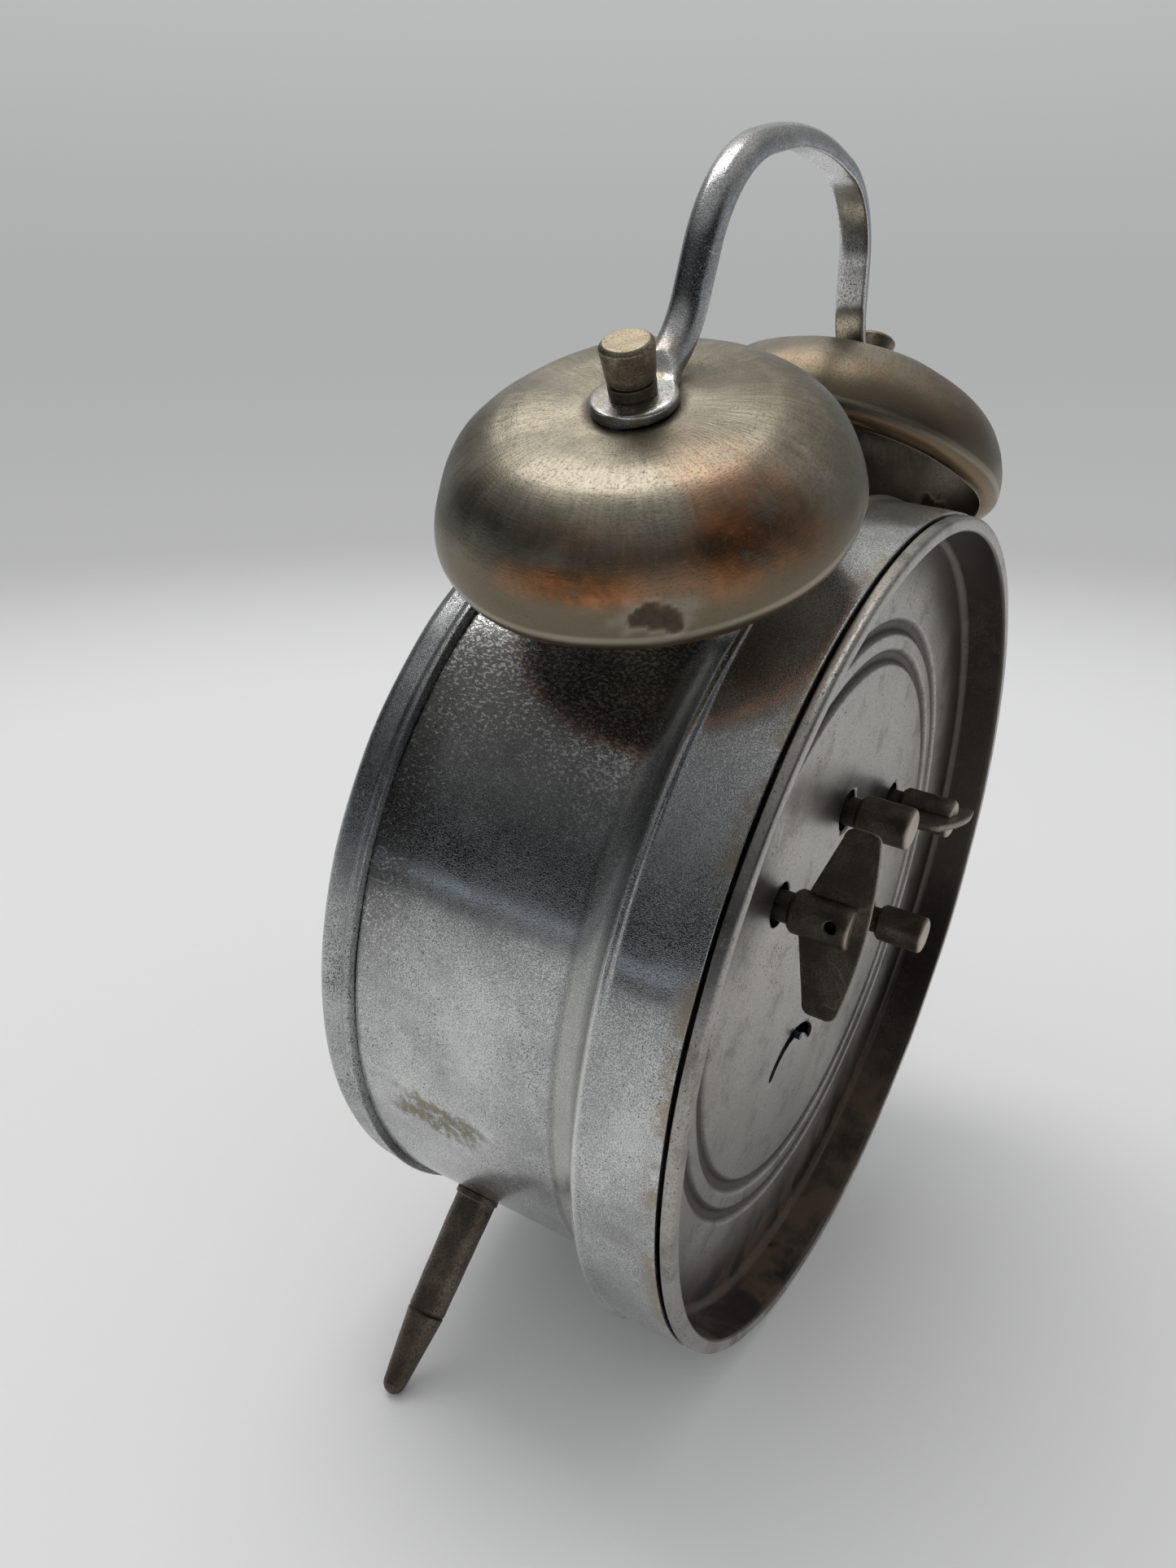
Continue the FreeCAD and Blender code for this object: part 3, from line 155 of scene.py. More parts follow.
def addGrid(name, local, place=drumPlace, masks=None, closedRows=True, closedColumns=True):
    # a grid of points in mm becomes one mesh: equal points are joined, so poles and seams close,
    # and the faces are turned outwards where the volume comes out negative
    rows, columns = local.shape[:2]
    flat = local.reshape(-1, 3)
    _, first, index = np.unique(flat.round(4), axis=0, return_index=True, return_inverse=True)
    index = index.reshape(rows, columns)
    nextRow = np.roll(index, -1, 0)
    quads = np.stack([index, np.roll(index, -1, 1), np.roll(nextRow, -1, 1), nextRow], -1)
    quads = quads[:rows if closedRows else rows - 1, :columns if closedColumns else columns - 1]
    points = fromPlace(place, flat[first])
    masks = {label: np.broadcast_to(values, (rows, columns)).ravel()[first]
             for label, values in (masks or {}).items()}
    return addMesh(name, points, quads.reshape(-1, 4), masks)


def newPiece(name, data):
    piece = bpy.data.objects.new(name, data)
    bpy.context.scene.collection.objects.link(piece)
    return piece


def addMesh(name, points, faces, masks=None):
    # points are in mm in the drum's frame
    corners = points[faces]
    a, b, c, d = corners[:, 0], corners[:, 1], corners[:, 2], corners[:, 3]
    if np.einsum("ij,ij->", a, np.cross(b, c)) + np.einsum("ij,ij->", a, np.cross(c, d)) < 0:
        faces = faces[:, ::-1]
    rows = [[corner for spot, corner in enumerate(face) if corner != face[spot - 1]]
            for face in faces.tolist()]
    rows = [row for row in rows if len(set(row)) == len(row) > 2]
    mesh = bpy.data.meshes.new(name)
    mesh.from_pydata(toRow(points).tolist(), [], rows)
    for label, values in (masks or {}).items():
        mask = mesh.attributes.new(label, "FLOAT", "POINT")
        mask.data.foreach_set("value", np.asarray(values, np.float32))
    mesh.shade_smooth()
    mesh.update()
    piece = bpy.data.objects.new(name, mesh)
    bpy.context.scene.collection.objects.link(piece)
    return piece


def turned(name, outline, place=drumPlace, around=256, step=0.8, soft=0.12, relief=None):
    # a profile carried round an axis: radius and height along it, angle round it. relief gives how
    # far each point moves along its normal, and masks for the material
    closed = outline[0][0] > 0
    profile = traceOutline(outline, closed, step, soft)
    angle = np.arange(around) * 2 * math.pi / around
    radius, height = profile[:, 0, None], profile[:, 1, None] + 0 * angle
    local = np.stack([radius * np.cos(angle), height, radius * np.sin(angle)], -1)
    masks = {}
    if relief:
        along = np.roll(local, -1, 0) - np.roll(local, 1, 0) if closed else np.gradient(local, axis=0)
        normal = np.cross(along, np.roll(local, -1, 1) - np.roll(local, 1, 1))
        normal /= np.linalg.norm(normal, axis=-1, keepdims=True) + 1e-12
        widest = local[profile[:, 0].argmax()] * [1, 0, 1]
        normal *= np.sign((normal[profile[:, 0].argmax()] * widest).sum())
        offset, masks = relief(local)
        local = local + normal * offset[..., None]
    return addGrid(name, local, place, masks, closedRows=closed)


def plate(name, outline, gauge, place, edge=0.18):
    # flat stock: an outline in the place's Y and Z, drawn in towards its middle to round the edges
    profile = traceOutline(outline, True, 0.5, 0.15)
    middle = profile.mean(0)
    reach = np.linalg.norm(profile - middle, axis=1, keepdims=True)
    quarter = np.linspace(0, math.pi / 2, 5)
    inset = np.concatenate([[1e3, edge + 0.3], edge * (1 - np.sin(quarter)),
                            edge * (1 - np.cos(quarter)), [edge + 0.3, 1e3]])
    side = np.concatenate([[gauge / 2] * 2, gauge / 2 - edge * (1 - np.cos(quarter)),
                           edge * (1 - np.sin(quarter)) - gauge / 2, [-gauge / 2] * 2])
    rings = [np.column_stack([np.full(len(profile), across),
                              middle + (profile - middle) * np.clip(1 - back / reach, 0, 1)])
             for back, across in zip(inset, side)]
    return addGrid(name, np.array(rings), place, closedRows=False)


def cutOut(piece, cutters):
    # takes the cutters away from a piece and keeps the result as its own mesh
    for cutter in cutters:
        change = piece.modifiers.new(cutter.name, "BOOLEAN")
        change.operation = "DIFFERENCE"
        change.object = cutter
        change.solver = "EXACT"
    graph = bpy.context.evaluated_depsgraph_get()
    cut = bpy.data.meshes.new_from_object(piece.evaluated_get(graph), depsgraph=graph)
    piece.modifiers.clear()
    piece.data = cut
    for cutter in cutters:
        bpy.data.objects.remove(cutter)
    return piece


def roundCutter(name, place, radius, start, end, around=96):
    return turned(name, [(0, start), (radius, start), (radius, end), (0, end)], place, around, 50, 0.001)


def blockCutter(name, place, low, high):
    corners = np.array([[(low, high)[bit >> axis & 1][axis] for axis in range(3)] for bit in range(8)])
    faces = np.array([[0, 2, 3, 1], [4, 5, 7, 6], [0, 1, 5, 4], [2, 6, 7, 3], [0, 4, 6, 2], [1, 3, 7, 5]])
    return addMesh(name, fromPlace(place, corners), faces)


def settle(piece, body, slot, material, *replaced):
    piece.data.materials.clear()
    piece.data.materials.append(material)
    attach(piece, body)
    if replaced:
        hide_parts(*replaced)
    print("made", piece.name, len(piece.data.polygons), "faces")
    return piece


# shader nodes

def maker(tree):
    def make(kind, inputs=None, **settings):
        node = tree.nodes.new("ShaderNode" + kind)
        for name, value in settings.items():
            setattr(node, name, value)
        for name, value in (inputs or {}).items():
            if isinstance(value, bpy.types.NodeSocket):
                tree.links.new(value, node.inputs[name])
            else:
                node.inputs[name].default_value = value
        return node
    return make


def maths(make, operation, *values):
    return make("Math", dict(enumerate(values)), operation=operation).outputs[0]


def times(make, first, second):
    return maths(make, "MULTIPLY", first, second)


def plus(make, first, second):
    return maths(make, "ADD", first, second)


def minus(make, first, second):
    return maths(make, "SUBTRACT", first, second)


def between(make, value, low, high):
    # 0 at low and 1 at high, with a smooth rise
    return make("MapRange", {"Value": value, "From Min": low, "From Max": high},
                interpolation_type="SMOOTHSTEP").outputs[0]


def mixed(make, share, first, second):
    return make("Mix", {0: share, 6: first, 7: second}, data_type="RGBA").outputs[2]


def noise(make, vector, scale, detail=3.0, roughness=0.55, distortion=0.0):
    return make("TexNoise", {"Vector": vector, "Scale": scale, "Detail": detail,
                             "Roughness": roughness, "Distortion": distortion}).outputs[0]


def newGroup(name, inputs, outputs):
    # a group with named inputs (kind and value) and outputs (kind)
    tree = bpy.data.node_groups.new(name, "ShaderNodeTree")
    for label, (kind, value) in inputs.items():
        socket = tree.interface.new_socket(label, in_out="INPUT", socket_type="NodeSocket" + kind)
        if value is not None:
            socket.default_value = value
    for label, kind in outputs.items():
        tree.interface.new_socket(label, in_out="OUTPUT", socket_type="NodeSocket" + kind)
    make = maker(tree)
    given = tree.nodes.new("NodeGroupInput").outputs
    result = tree.nodes.new("NodeGroupOutput").inputs
    return tree, make, given, result


def grouped(make, tree, **values):
    return make("Group", values, node_tree=tree).outputs


def split(make, vector):
    return make("SeparateXYZ", {0: vector}).outputs


# turned work: distance from the axis (local Y), depth along it, a vector that is drawn out round it
# and one that is drawn out from the axis
turnedField, make, given, result = newGroup(
    "turnedField", {"Vector": ("Vector", None)},
    {"Radius": "Float", "Depth": "Float", "Brush": "Vector", "Rays": "Vector"})
parts = split(make, given["Vector"])
radius = make("VectorMath", {0: make("CombineXYZ", {"X": parts["X"], "Z": parts["Z"]}).outputs[0]},
              operation="LENGTH").outputs["Value"]
drawn = times(make, parts["X"], 0.05)
turnedField.links.new(radius, result["Radius"])
turnedField.links.new(parts["Y"], result["Depth"])
turnedField.links.new(make("CombineXYZ", {
    "X": plus(make, radius, drawn), "Y": parts["Y"],
    "Z": times(make, parts["Z"], 0.05)}).outputs[0], result["Brush"])
turnedField.links.new(make("CombineXYZ", {
    "X": times(make, maths(make, "DIVIDE", parts["X"], radius), 16.0),
    "Y": times(make, radius, 0.12),
    "Z": times(make, maths(make, "DIVIDE", parts["Z"], radius), 16.0)}).outputs[0], result["Rays"])

# specks: fine dark pits that gather in drifts
specks, make, given, result = newGroup(
    "specks", {"Vector": ("Vector", None), "Scale": ("Float", 3.0), "Amount": ("Float", 0.5)},
    {"Mask": "Float"})
drift = noise(make, given["Vector"], times(make, given["Scale"], 0.035), 3.0, 0.6)
fine = noise(make, given["Vector"], given["Scale"], 2.0, 0.7)
gate = minus(make, 0.80, times(make, given["Amount"], times(make, drift, 0.44)))
specks.links.new(between(make, minus(make, fine, gate), -0.02, 0.035), result["Mask"])

# grain: very fine dark spots that cover more where a slow drift is high, and pale rubbed patches
grain, make, given, result = newGroup(
    "grain", {"Vector": ("Vector", None), "Scale": ("Float", 5.0), "Cover": ("Float", 0.5)},
    {"Spots": "Float", "Rubbed": "Float"})
drift = noise(make, given["Vector"], times(make, given["Scale"], 0.012), 3.0, 0.6)
spots = noise(make, given["Vector"], given["Scale"], 1.5, 0.6)
edge = minus(make, 0.66, times(make, given["Cover"], times(make, drift, 0.4)))
grain.links.new(between(make, minus(make, spots, edge), -0.03, 0.07), result["Spots"])
dentTone = noise(make, given["Vector"], times(make, given["Scale"], 0.09), 5.0, 0.75)
grain.links.new(between(make, dentTone, 0.54, 0.72), result["Rubbed"])

# brushing: streaks drawn out round the axis, in two sizes
brushing, make, given, result = newGroup(
    "brushing", {"Brush": ("Vector", None), "Fineness": ("Float", 6.0)}, {"Value": "Float"})
fineStreaks = noise(make, given["Brush"], given["Fineness"], 2.0, 0.6)
wideStreaks = noise(make, given["Brush"], times(make, given["Fineness"], 0.18), 2.0, 0.6)
streaks = plus(make, times(make, fineStreaks, 0.6), times(make, wideStreaks, 0.4))
brushing.links.new(streaks, result["Value"])

# scuffs: thin stray scratches, where a stretched noise crosses its middle value
scuffs, make, given, result = newGroup(
    "scuffs", {"Vector": ("Vector", None), "Scale": ("Float", 0.3), "Amount": ("Float", 0.5)},
    {"Mask": "Float"})
stretched = make("VectorMath", {0: given["Vector"], 1: (1.0, 0.22, 0.5)}, operation="MULTIPLY").outputs[0]
line = noise(make, stretched, given["Scale"], 1.5, 0.5, 0.4)
nearLine = maths(make, "ABSOLUTE", minus(make, line, 0.5))
where = noise(make, given["Vector"], times(make, given["Scale"], 0.7), 2.0)
present = times(make, given["Amount"], between(make, where, 0.48, 0.66))
scuffs.links.new(times(make, between(make, nearLine, 0.006, 0.0015), present), result["Mask"])


def pieceVector(make, place):
    # Object coordinates brought to a place's own axes, in mm
    centre, basis = place
    turn = Matrix((basis @ drumBasis).T.tolist()).to_euler("XYZ")
    return make("Mapping", {"Vector": make("TexCoord").outputs["Object"],
                            "Location": toRow(centre).tolist(), "Rotation": turn,
                            "Scale": (0.001, 0.001, 0.001)}, vector_type="TEXTURE").outputs[0]


def newMaterial(name):
    material = bpy.data.materials.new(name)
    material.use_nodes = True
    tree = material.node_tree
    tree.nodes.clear()
    make = maker(tree)
    shader = make("BsdfPrincipled")
    output = make("OutputMaterial", {"Surface": shader.outputs[0]})
    return material, make, shader, output


def feed(shader, **sockets):
    tree = shader.id_data
    for name, value in sockets.items():
        socket = shader.inputs[name.replace("_", " ")]
        if isinstance(value, bpy.types.NodeSocket):
            tree.links.new(value, socket)
        else:
            socket.default_value = value


class Look:
    # the colour, roughness, metal and height of a finish, built up layer by layer: each layer is
    # a share from 0 to 1, scaled by an amount
    def __init__(self, make, colour, roughness, metal, height):
        self.make = make
        self.colour, self.roughness, self.metal, self.height = colour, roughness, metal, height

    def shade(self, factor):
        scaled = self.make("VectorMath", {0: self.colour, "Scale": factor}, operation="SCALE")
        self.colour = scaled.outputs[0]

    def tint(self, share, amount, tone):
        self.colour = mixed(self.make, times(self.make, share, amount), self.colour, tone)

    def roughen(self, share, amount):
        self.roughness = plus(self.make, self.roughness, times(self.make, share, amount))

    def dull(self, share, amount):
        self.metal = minus(self.make, self.metal, times(self.make, share, amount))

    def lift(self, share, amount):
        self.height = plus(self.make, self.height, times(self.make, share, amount))


def wornMetal(name, place, values, extra=None):
    # metal with cloudy tarnish, streaks from turning, dark pits and stray scratches.
    # extra adds the layers that only one piece has
    material, make, shader, _ = newMaterial(name)
    vector = pieceVector(make, place)
    field = grouped(make, turnedField, Vector=vector)
    cloud = noise(make, vector, values["cloudScale"], 4.0, 0.6)
    fineCloud = noise(make, vector, values["cloudScale"] * 9, 3.0, 0.65)
    streaks = grouped(make, brushing, Brush=field["Brush"], Fineness=values["fineness"])["Value"]
    pits = grouped(make, specks, Vector=vector, Scale=values["pitScale"], Amount=values["pits"])["Mask"]
    marks = grouped(make, scuffs, Vector=vector, Scale=0.35, Amount=values["scuffs"])["Mask"]
    fine = grouped(make, grain, Vector=vector, Scale=values["grainScale"], Cover=values["cover"])
    tone = plus(make, times(make, between(make, cloud, 0.36, 0.66), 0.6), times(make, fineCloud, 0.4))
    low, high = values["roughness"]
    look = Look(make, mixed(make, tone, values["dark"], values["light"]),
                plus(make, times(make, tone, high - low), low), values["metal"],
                times(make, streaks, values["relief"]))
    look.shade(plus(make, 1 - values["streaks"] / 2, times(make, streaks, values["streaks"])))
    look.tint(fine["Rubbed"], values["rubbed"], values["scratch"])
    look.tint(fine["Spots"], values["spots"], values["pit"])
    look.tint(marks, 0.6, values["scratch"])
    look.tint(pits, 0.85, values["pit"])
    look.roughen(streaks, 0.04)
    look.roughen(pits, 0.3)
    look.roughen(fine["Spots"], values["spots"] * 0.2)
    look.dull(pits, 0.5)
    look.lift(pits, -1.0)
    look.lift(marks, -0.4)
    look.lift(fine["Spots"], -values["spots"] * 0.5)
    look.lift(fineCloud, values["grain"])
    if extra:
        extra(make, vector, field, look)
    bump = make("Bump", {"Height": look.height, "Strength": 1.0, "Distance": values["bump"]})
    feed(shader, Base_Color=look.colour, Roughness=look.roughness, Metallic=look.metal,
         Normal=bump.outputs[0])
    return material


def shareOf(make, value, centre, halfWidth, edge):
    # 1 where a value lies within halfWidth of a centre, fading over edge
    away = maths(make, "ABSOLUTE", minus(make, value, centre))
    return between(make, away, halfWidth + edge, halfWidth)


def ownMask(make, label):
    return make("Attribute", attribute_name=label, attribute_type="GEOMETRY").outputs["Fac"]


def angleFromTop(local):
    return np.degrees(np.arctan2(local[..., 0], local[..., 2]))


def softSpot(distance, edge=0.35):
    # 1 inside a distance of 1, fading to 0 over the edge
    return 1 / (1 + np.exp(np.clip((distance - 1) / edge * 4, -30, 30)))


# the drum: ring, ridge, cove and barrel in one spun shell

case = {
    "ring": 55.0, "ridge": 55.4, "barrel": 50.2, "gauge": 0.6, "rear": -1.9, "ridgeDepth": -11.5,
    "coveDepth": -17.5, "coveRound": 6.2, "front": -44.2, "waviness": 0.035, "waveLength": 17.0,
    "hammerSlot": (8.0, 4.0),
    "stainAngle": 107.5, "stainDepth": -34.0, "dentAngle": 105.0, "dentDepth": -6.4,
    "spotAngle": 98.0, "spotDepth": -45.0,
    "metal": {
        "dark": (0.45, 0.46, 0.465, 1), "light": (0.74, 0.745, 0.74, 1), "pit": (0.04, 0.037, 0.034, 1),
        "scratch": (0.84, 0.84, 0.83, 1), "cloudScale": 0.07, "fineness": 7.0, "pitScale": 4.2,
        "pits": 0.60, "scuffs": 0.06, "streaks": 0.22, "roughness": (0.08, 0.17), "metal": 1.0,
        "relief": 0.14, "grain": 0.10, "bump": 0.00004, "grainScale": 7.0, "cover": 0.85,
        "spots": 0.45, "rubbed": 0.22},
}


def caseRelief(local):
    phi, depth = angleFromTop(local), local[..., 1]
    offset = waves(local, 11, case["waveLength"], case["waviness"])
    offset += waves(local, 12, 5.0, case["waviness"] * 0.16)
    ragged = waves(local, 13, 2.6, 0.30) + waves(local, 14, 6.0, 0.30)
    stain = np.hypot((phi - case["stainAngle"]) / 2.6, (depth - case["stainDepth"]) / 5.4) + ragged
    spot = np.hypot(phi - case["spotAngle"], depth - case["spotDepth"]) / 1.1 + ragged * 0.6
    dent = np.hypot((phi - case["dentAngle"]) / 1.6, (depth - case["dentDepth"]) / 2.4)
    offset -= 0.22 * np.exp(-dent ** 2) + 0.05 * softSpot(stain)
    return offset, {"stain": np.maximum(softSpot(stain), softSpot(spot)),
                    "dentTone": np.exp(-(dent / 1.6) ** 2)}


def caseExtra(make, vector, field, look):
    # olive stain, tan tint beside the rear edge, a painted highlight along the ridge, cloudy satin low on the
    # ring, a line of painted shade where the cove meets the barrel, and darker round the dent
    depth = field["Depth"]
    patchy = noise(make, vector, 0.22, 4.0, 0.65)
    rearEdge = between(make, depth, -4.5, -2.2)
    tan = times(make, rearEdge, between(make, patchy, 0.42, 0.62))
    look.tint(tan, 0.75, (0.34, 0.27, 0.19, 1))
    # painted highlight: a pale line along the ridge
    ridge = shareOf(make, depth, case["ridgeDepth"], 0.25, 0.5)
    look.tint(ridge, 0.7, (0.74, 0.74, 0.72, 1))
    up = maths(make, "DIVIDE", split(make, vector)["Z"], field["Radius"])
    pressed = make("VectorMath", {0: vector, 1: (1.0, 0.55, 1.0)}, operation="MULTIPLY").outputs[0]
    leopard = grouped(make, grain, Vector=pressed, Scale=3.4, Cover=1.25)["Spots"]
    upper = times(make, between(make, up, 0.25, 0.75), between(make, depth, -8.0, -20.0))
    nearFront = times(make, between(make, up, -0.1, 0.4), between(make, depth, -34.0, -42.0))
    upper = maths(make, "MAXIMUM", upper, nearFront)
    look.tint(times(make, leopard, upper), 0.75, (0.07, 0.062, 0.052, 1))
    cove = shareOf(make, depth, case["coveDepth"] + 2.6, 1.6, 1.2)
    look.tint(cove, 0.6, (0.47, 0.47, 0.44, 1))
    look.roughen(cove, 0.06)
    # painted shade: a dark line in the crease where the cove meets the barrel
    creaseShade = shareOf(make, depth, case["coveDepth"] + 0.2, 0.15, 0.6)
    look.tint(creaseShade, 0.35, (0.12, 0.115, 0.11, 1))
    crust = noise(make, vector, 0.8, 6.0, 0.7)
    stain = times(make, ownMask(make, "stain"), between(make, crust, 0.34, 0.60))
    stainTone = mixed(make, between(make, crust, 0.4, 0.7), (0.10, 0.085, 0.045, 1), (0.30, 0.28, 0.185, 1))
    look.tint(stain, 1.0, stainTone)
    look.roughen(stain, 0.35)
    look.roughen(tan, 0.15)
    look.dull(stain, 0.8)
    # darker round the dent
    look.tint(ownMask(make, "dentTone"), 0.35, (0.16, 0.15, 0.14, 1))


def makeCase():
    gauge, ridge = case["gauge"], case["ridgeDepth"]
    inner = case["barrel"] - gauge
    outline = [
        (case["ring"], case["rear"]), (case["ring"], ridge + 1.1, 0, 0.4),
        (case["ridge"] + 0.05, ridge + 0.75), (case["ridge"] + 0.05, ridge + 0.25),
        (case["ring"] - 0.1, ridge - 0.35, case["coveRound"]),
        (case["barrel"], case["coveDepth"]), (case["barrel"], case["front"]), (inner, case["front"]),
        (inner, case["coveDepth"], -(case["coveRound"] + gauge)),
        (case["ridge"] - gauge, case["ridgeDepth"] + gauge), (case["ring"] - gauge, case["rear"])]
    piece = turned("case_shell", outline, around=540, step=0.75, soft=0.2, relief=caseRelief)
    across, deep = case["hammerSlot"]
    cutOut(piece, [blockCutter("hammer_slot", drumPlace, (-across / 2, bellDepth - deep / 2, inner - 6),
                               (across / 2, bellDepth + deep / 2, inner + 6))])
    material = wornMetal("caseNickel", drumPlace, case["metal"], caseExtra)
    settle(piece, "clock", "case_nickel", material, "case_barrel")


# where the bells stand round the drum
bellTilt = axisAngle(drumPlace, "bell_nut_right")
bellDepth = -25.1
bellPlaces = {"left": outwards(-bellTilt, bellDepth), "right": outwards(bellTilt, bellDepth)}
makeCase()

# front rim

bezel = {
    "sleeve": 49.5, "sleeveRear": -41.0, "outer": 50.8, "eye": 45.6, "front": -49.8,
    "round": 2.0, "gauge": 0.6, "bead": 0.3,
    "metal": dict(case["metal"], dark=(0.30, 0.31, 0.32, 1), light=(0.58, 0.585, 0.59, 1), pits=0.85,
                  roughness=(0.14, 0.26)),
}


def makeBezel():
    rear, gauge, outer, curl = case["front"], bezel["gauge"], bezel["outer"], bezel["round"]
    sleeve, deep, face, bead = bezel["sleeve"], bezel["sleeveRear"], bezel["front"], bezel["bead"]
    outline = [
        (sleeve, deep), (sleeve, rear), (outer - 0.45, rear), (outer + bead, rear - 0.35, 0, 0.2),
        (outer + bead, rear - 1.0, 0, 0.3), (outer - 0.1, rear - 1.7, 0, 0.5),
        (outer, rear - 2.4, 0, 0.5), (outer, face + curl, -curl), (outer - curl, face),
        (bezel["eye"], face), (bezel["eye"], face + gauge), (outer - curl, face + gauge, curl - gauge),
        (outer - gauge, face + curl), (outer - gauge, rear - gauge),
        (sleeve - gauge, rear - gauge), (sleeve - gauge, deep)]
    piece = turned("front_rim", outline, around=480, step=0.7, soft=0.2,
                   relief=lambda local: (waves(local, 21, 16.0, 0.025), {}))
    material = wornMetal("bezelNickel", drumPlace, bezel["metal"])
    settle(piece, "clock", "bezel_nickel", material, "front_bezel")


makeBezel()

# back cover: a pan with two pressed grooves, a rolled lip and its holes

cover = {
    "floor": -6.3, "flat": 51.4, "wall": 52.9, "lip": 54.8, "lipDepth": -1.5, "gauge": 0.5,
    "grooves": (40.1, 36.2), "grooveDepth": 0.8, "grooveWidth": 1.1, "hole": 2.85,
    "slotRadius": 8.7, "slotWidth": 1.6, "slotSweep": 100.0,
    "metal": {
        "dark": (0.33, 0.31, 0.29, 1), "light": (0.50, 0.475, 0.445, 1), "pit": (0.04, 0.03, 0.022, 1),
        "scratch": (0.66, 0.62, 0.57, 1), "cloudScale": 0.05, "fineness": 5.0, "pitScale": 2.2,
        "pits": 0.55, "scuffs": 0.35, "streaks": 0.22, "roughness": (0.26, 0.38), "metal": 1.0,
        "relief": 0.30, "grain": 0.2, "bump": 0.00004, "grainScale": 4.0, "cover": 0.6,
        "spots": 0.25, "rubbed": 0.12},
}


def grooveLine(radius, depth):
    wide, low = cover["grooveWidth"], depth - cover["grooveDepth"]
    narrow = wide * 0.3
    return [(radius + wide, depth), (radius + narrow, low), (radius - narrow, low), (radius - wide, depth)]


def coverExtra(make, vector, field, look):
    # dirt in the grooves, painted shade on the wall, a painted dark reflection on the outer band, rust low in the
    # pan
    radius = field["Radius"]
    up = split(make, vector)["Z"]
    patchy = noise(make, vector, 0.12, 4.0, 0.65)
    for groove in cover["grooves"]:
        dirt = shareOf(make, radius, groove, 0.5, 0.7)
        look.tint(dirt, 0.8, (0.06, 0.05, 0.045, 1))
        look.roughen(dirt, 0.2)
    # painted shade on the pan's wall
    wall = times(make, between(make, radius, 50.0, 52.6), between(make, radius, 53.3, 53.0))
    look.tint(wall, 0.85, (0.085, 0.072, 0.062, 1))
    # painted dark reflection on the band between the outer groove and the wall
    outer = times(make, between(make, radius, 42.5, 50.5), between(make, radius, 53.3, 53.0))
    look.tint(outer, 0.8, (0.085, 0.073, 0.062, 1))
    smudge = between(make, noise(make, vector, 0.16, 5.0, 0.7), 0.50, 0.66)
    look.tint(smudge, 0.5, (0.14, 0.125, 0.11, 1))
    low = times(make, between(make, up, -30.0, -48.0), between(make, patchy, 0.40, 0.60))
    low = times(make, low, between(make, radius, 43.0, 50.0))
    look.tint(low, 0.6, (0.115, 0.068, 0.042, 1))
    look.roughen(low, 0.25)
    look.dull(low, 0.5)


def makeCover():
    floor, gauge, wall, lip = cover["floor"], cover["gauge"], cover["wall"], cover["lip"]
    under = floor - gauge
    outer, innerGroove = cover["grooves"]
    outline = [(0, floor)] + grooveLine(innerGroove, floor)[::-1] + grooveLine(outer, floor)[::-1] + [
        (cover["flat"], floor, 1.2), (wall - 0.3, floor + 1.2), (wall, -0.5, -0.5), (wall + 0.5, 0),
        (lip - 0.6, 0, -0.6), (lip, -0.6), (lip, cover["lipDepth"]), (wall + gauge, cover["lipDepth"]),
        (wall + 0.2, floor + 1.2, -1.7), (cover["flat"], under)]
    outline += grooveLine(outer, under) + grooveLine(innerGroove, under) + [(0, under)]
    piece = turned("cover_pan", outline, around=480, step=1.3, soft=0.25,
                   relief=lambda local: (waves(local, 31, 22.0, 0.03), {}))
    cutters = [roundCutter("hole_" + joint, behind(joint), cover["hole"], floor - 3, floor + 3)
               for joint in ("time_key_wind", "alarm_key_wind", "alarm_set_turn", "time_set_turn")]
    # the slot is swept round the balance's own axis
    share = np.linspace(-0.5, 0.5, 41)
    turn = np.radians(share * cover["slotSweep"])
    half = cover["slotWidth"] / 2
    ends = np.radians(np.linspace(0, 180, 15)[1:-1])
    reach = cover["slotRadius"]
    line = np.column_stack([np.sin(turn), np.cos(turn)])
    outside, inside = line * (reach + half), line[::-1] * (reach - half)
    outward = line[-1]
    onward = outward[::-1] * [1, -1]
    cap = outward * reach + half * (np.cos(ends)[:, None] * outward + np.sin(ends)[:, None] * onward)
    loop = np.concatenate([outside, cap, inside, (cap * [-1, 1])[::-1]])
    slot = prism("regulator_slot", loop, behind("regulator_shift"), floor - 3, floor + 3)
    cutOut(piece, cutters + [slot])
    material = wornMetal("coverSteel", drumPlace, cover["metal"], coverExtra)
    settle(piece, "clock", "cover_steel", material, "back_cover")


def prism(name, loop, place, start, end):
    # a closed loop in X and Z, pushed along Y, with one face at each end
    count = len(loop)
    points = np.concatenate([np.column_stack([loop[:, 0], np.full(count, height), loop[:, 1]])
                             for height in (start, end)])
    mesh = bpy.data.meshes.new(name)
    nearby = np.arange(count)
    sides = np.column_stack([nearby, np.roll(nearby, -1), np.roll(nearby, -1) + count, nearby + count])
    faces = sides.tolist() + [nearby[::-1].tolist(), (nearby + count).tolist()]
    area = (loop[:, 0] * np.roll(loop[:, 1], -1) - np.roll(loop[:, 0], -1) * loop[:, 1]).sum()
    if area > 0:
        faces = [face[::-1] for face in faces]
    mesh.from_pydata(toRow(fromPlace(place, points)).tolist(), [], faces)
    mesh.update()
    return newPiece(name, mesh)


makeCover()

# bells: two spun cups, brushed round and worn to copper where hands and cloths have rubbed

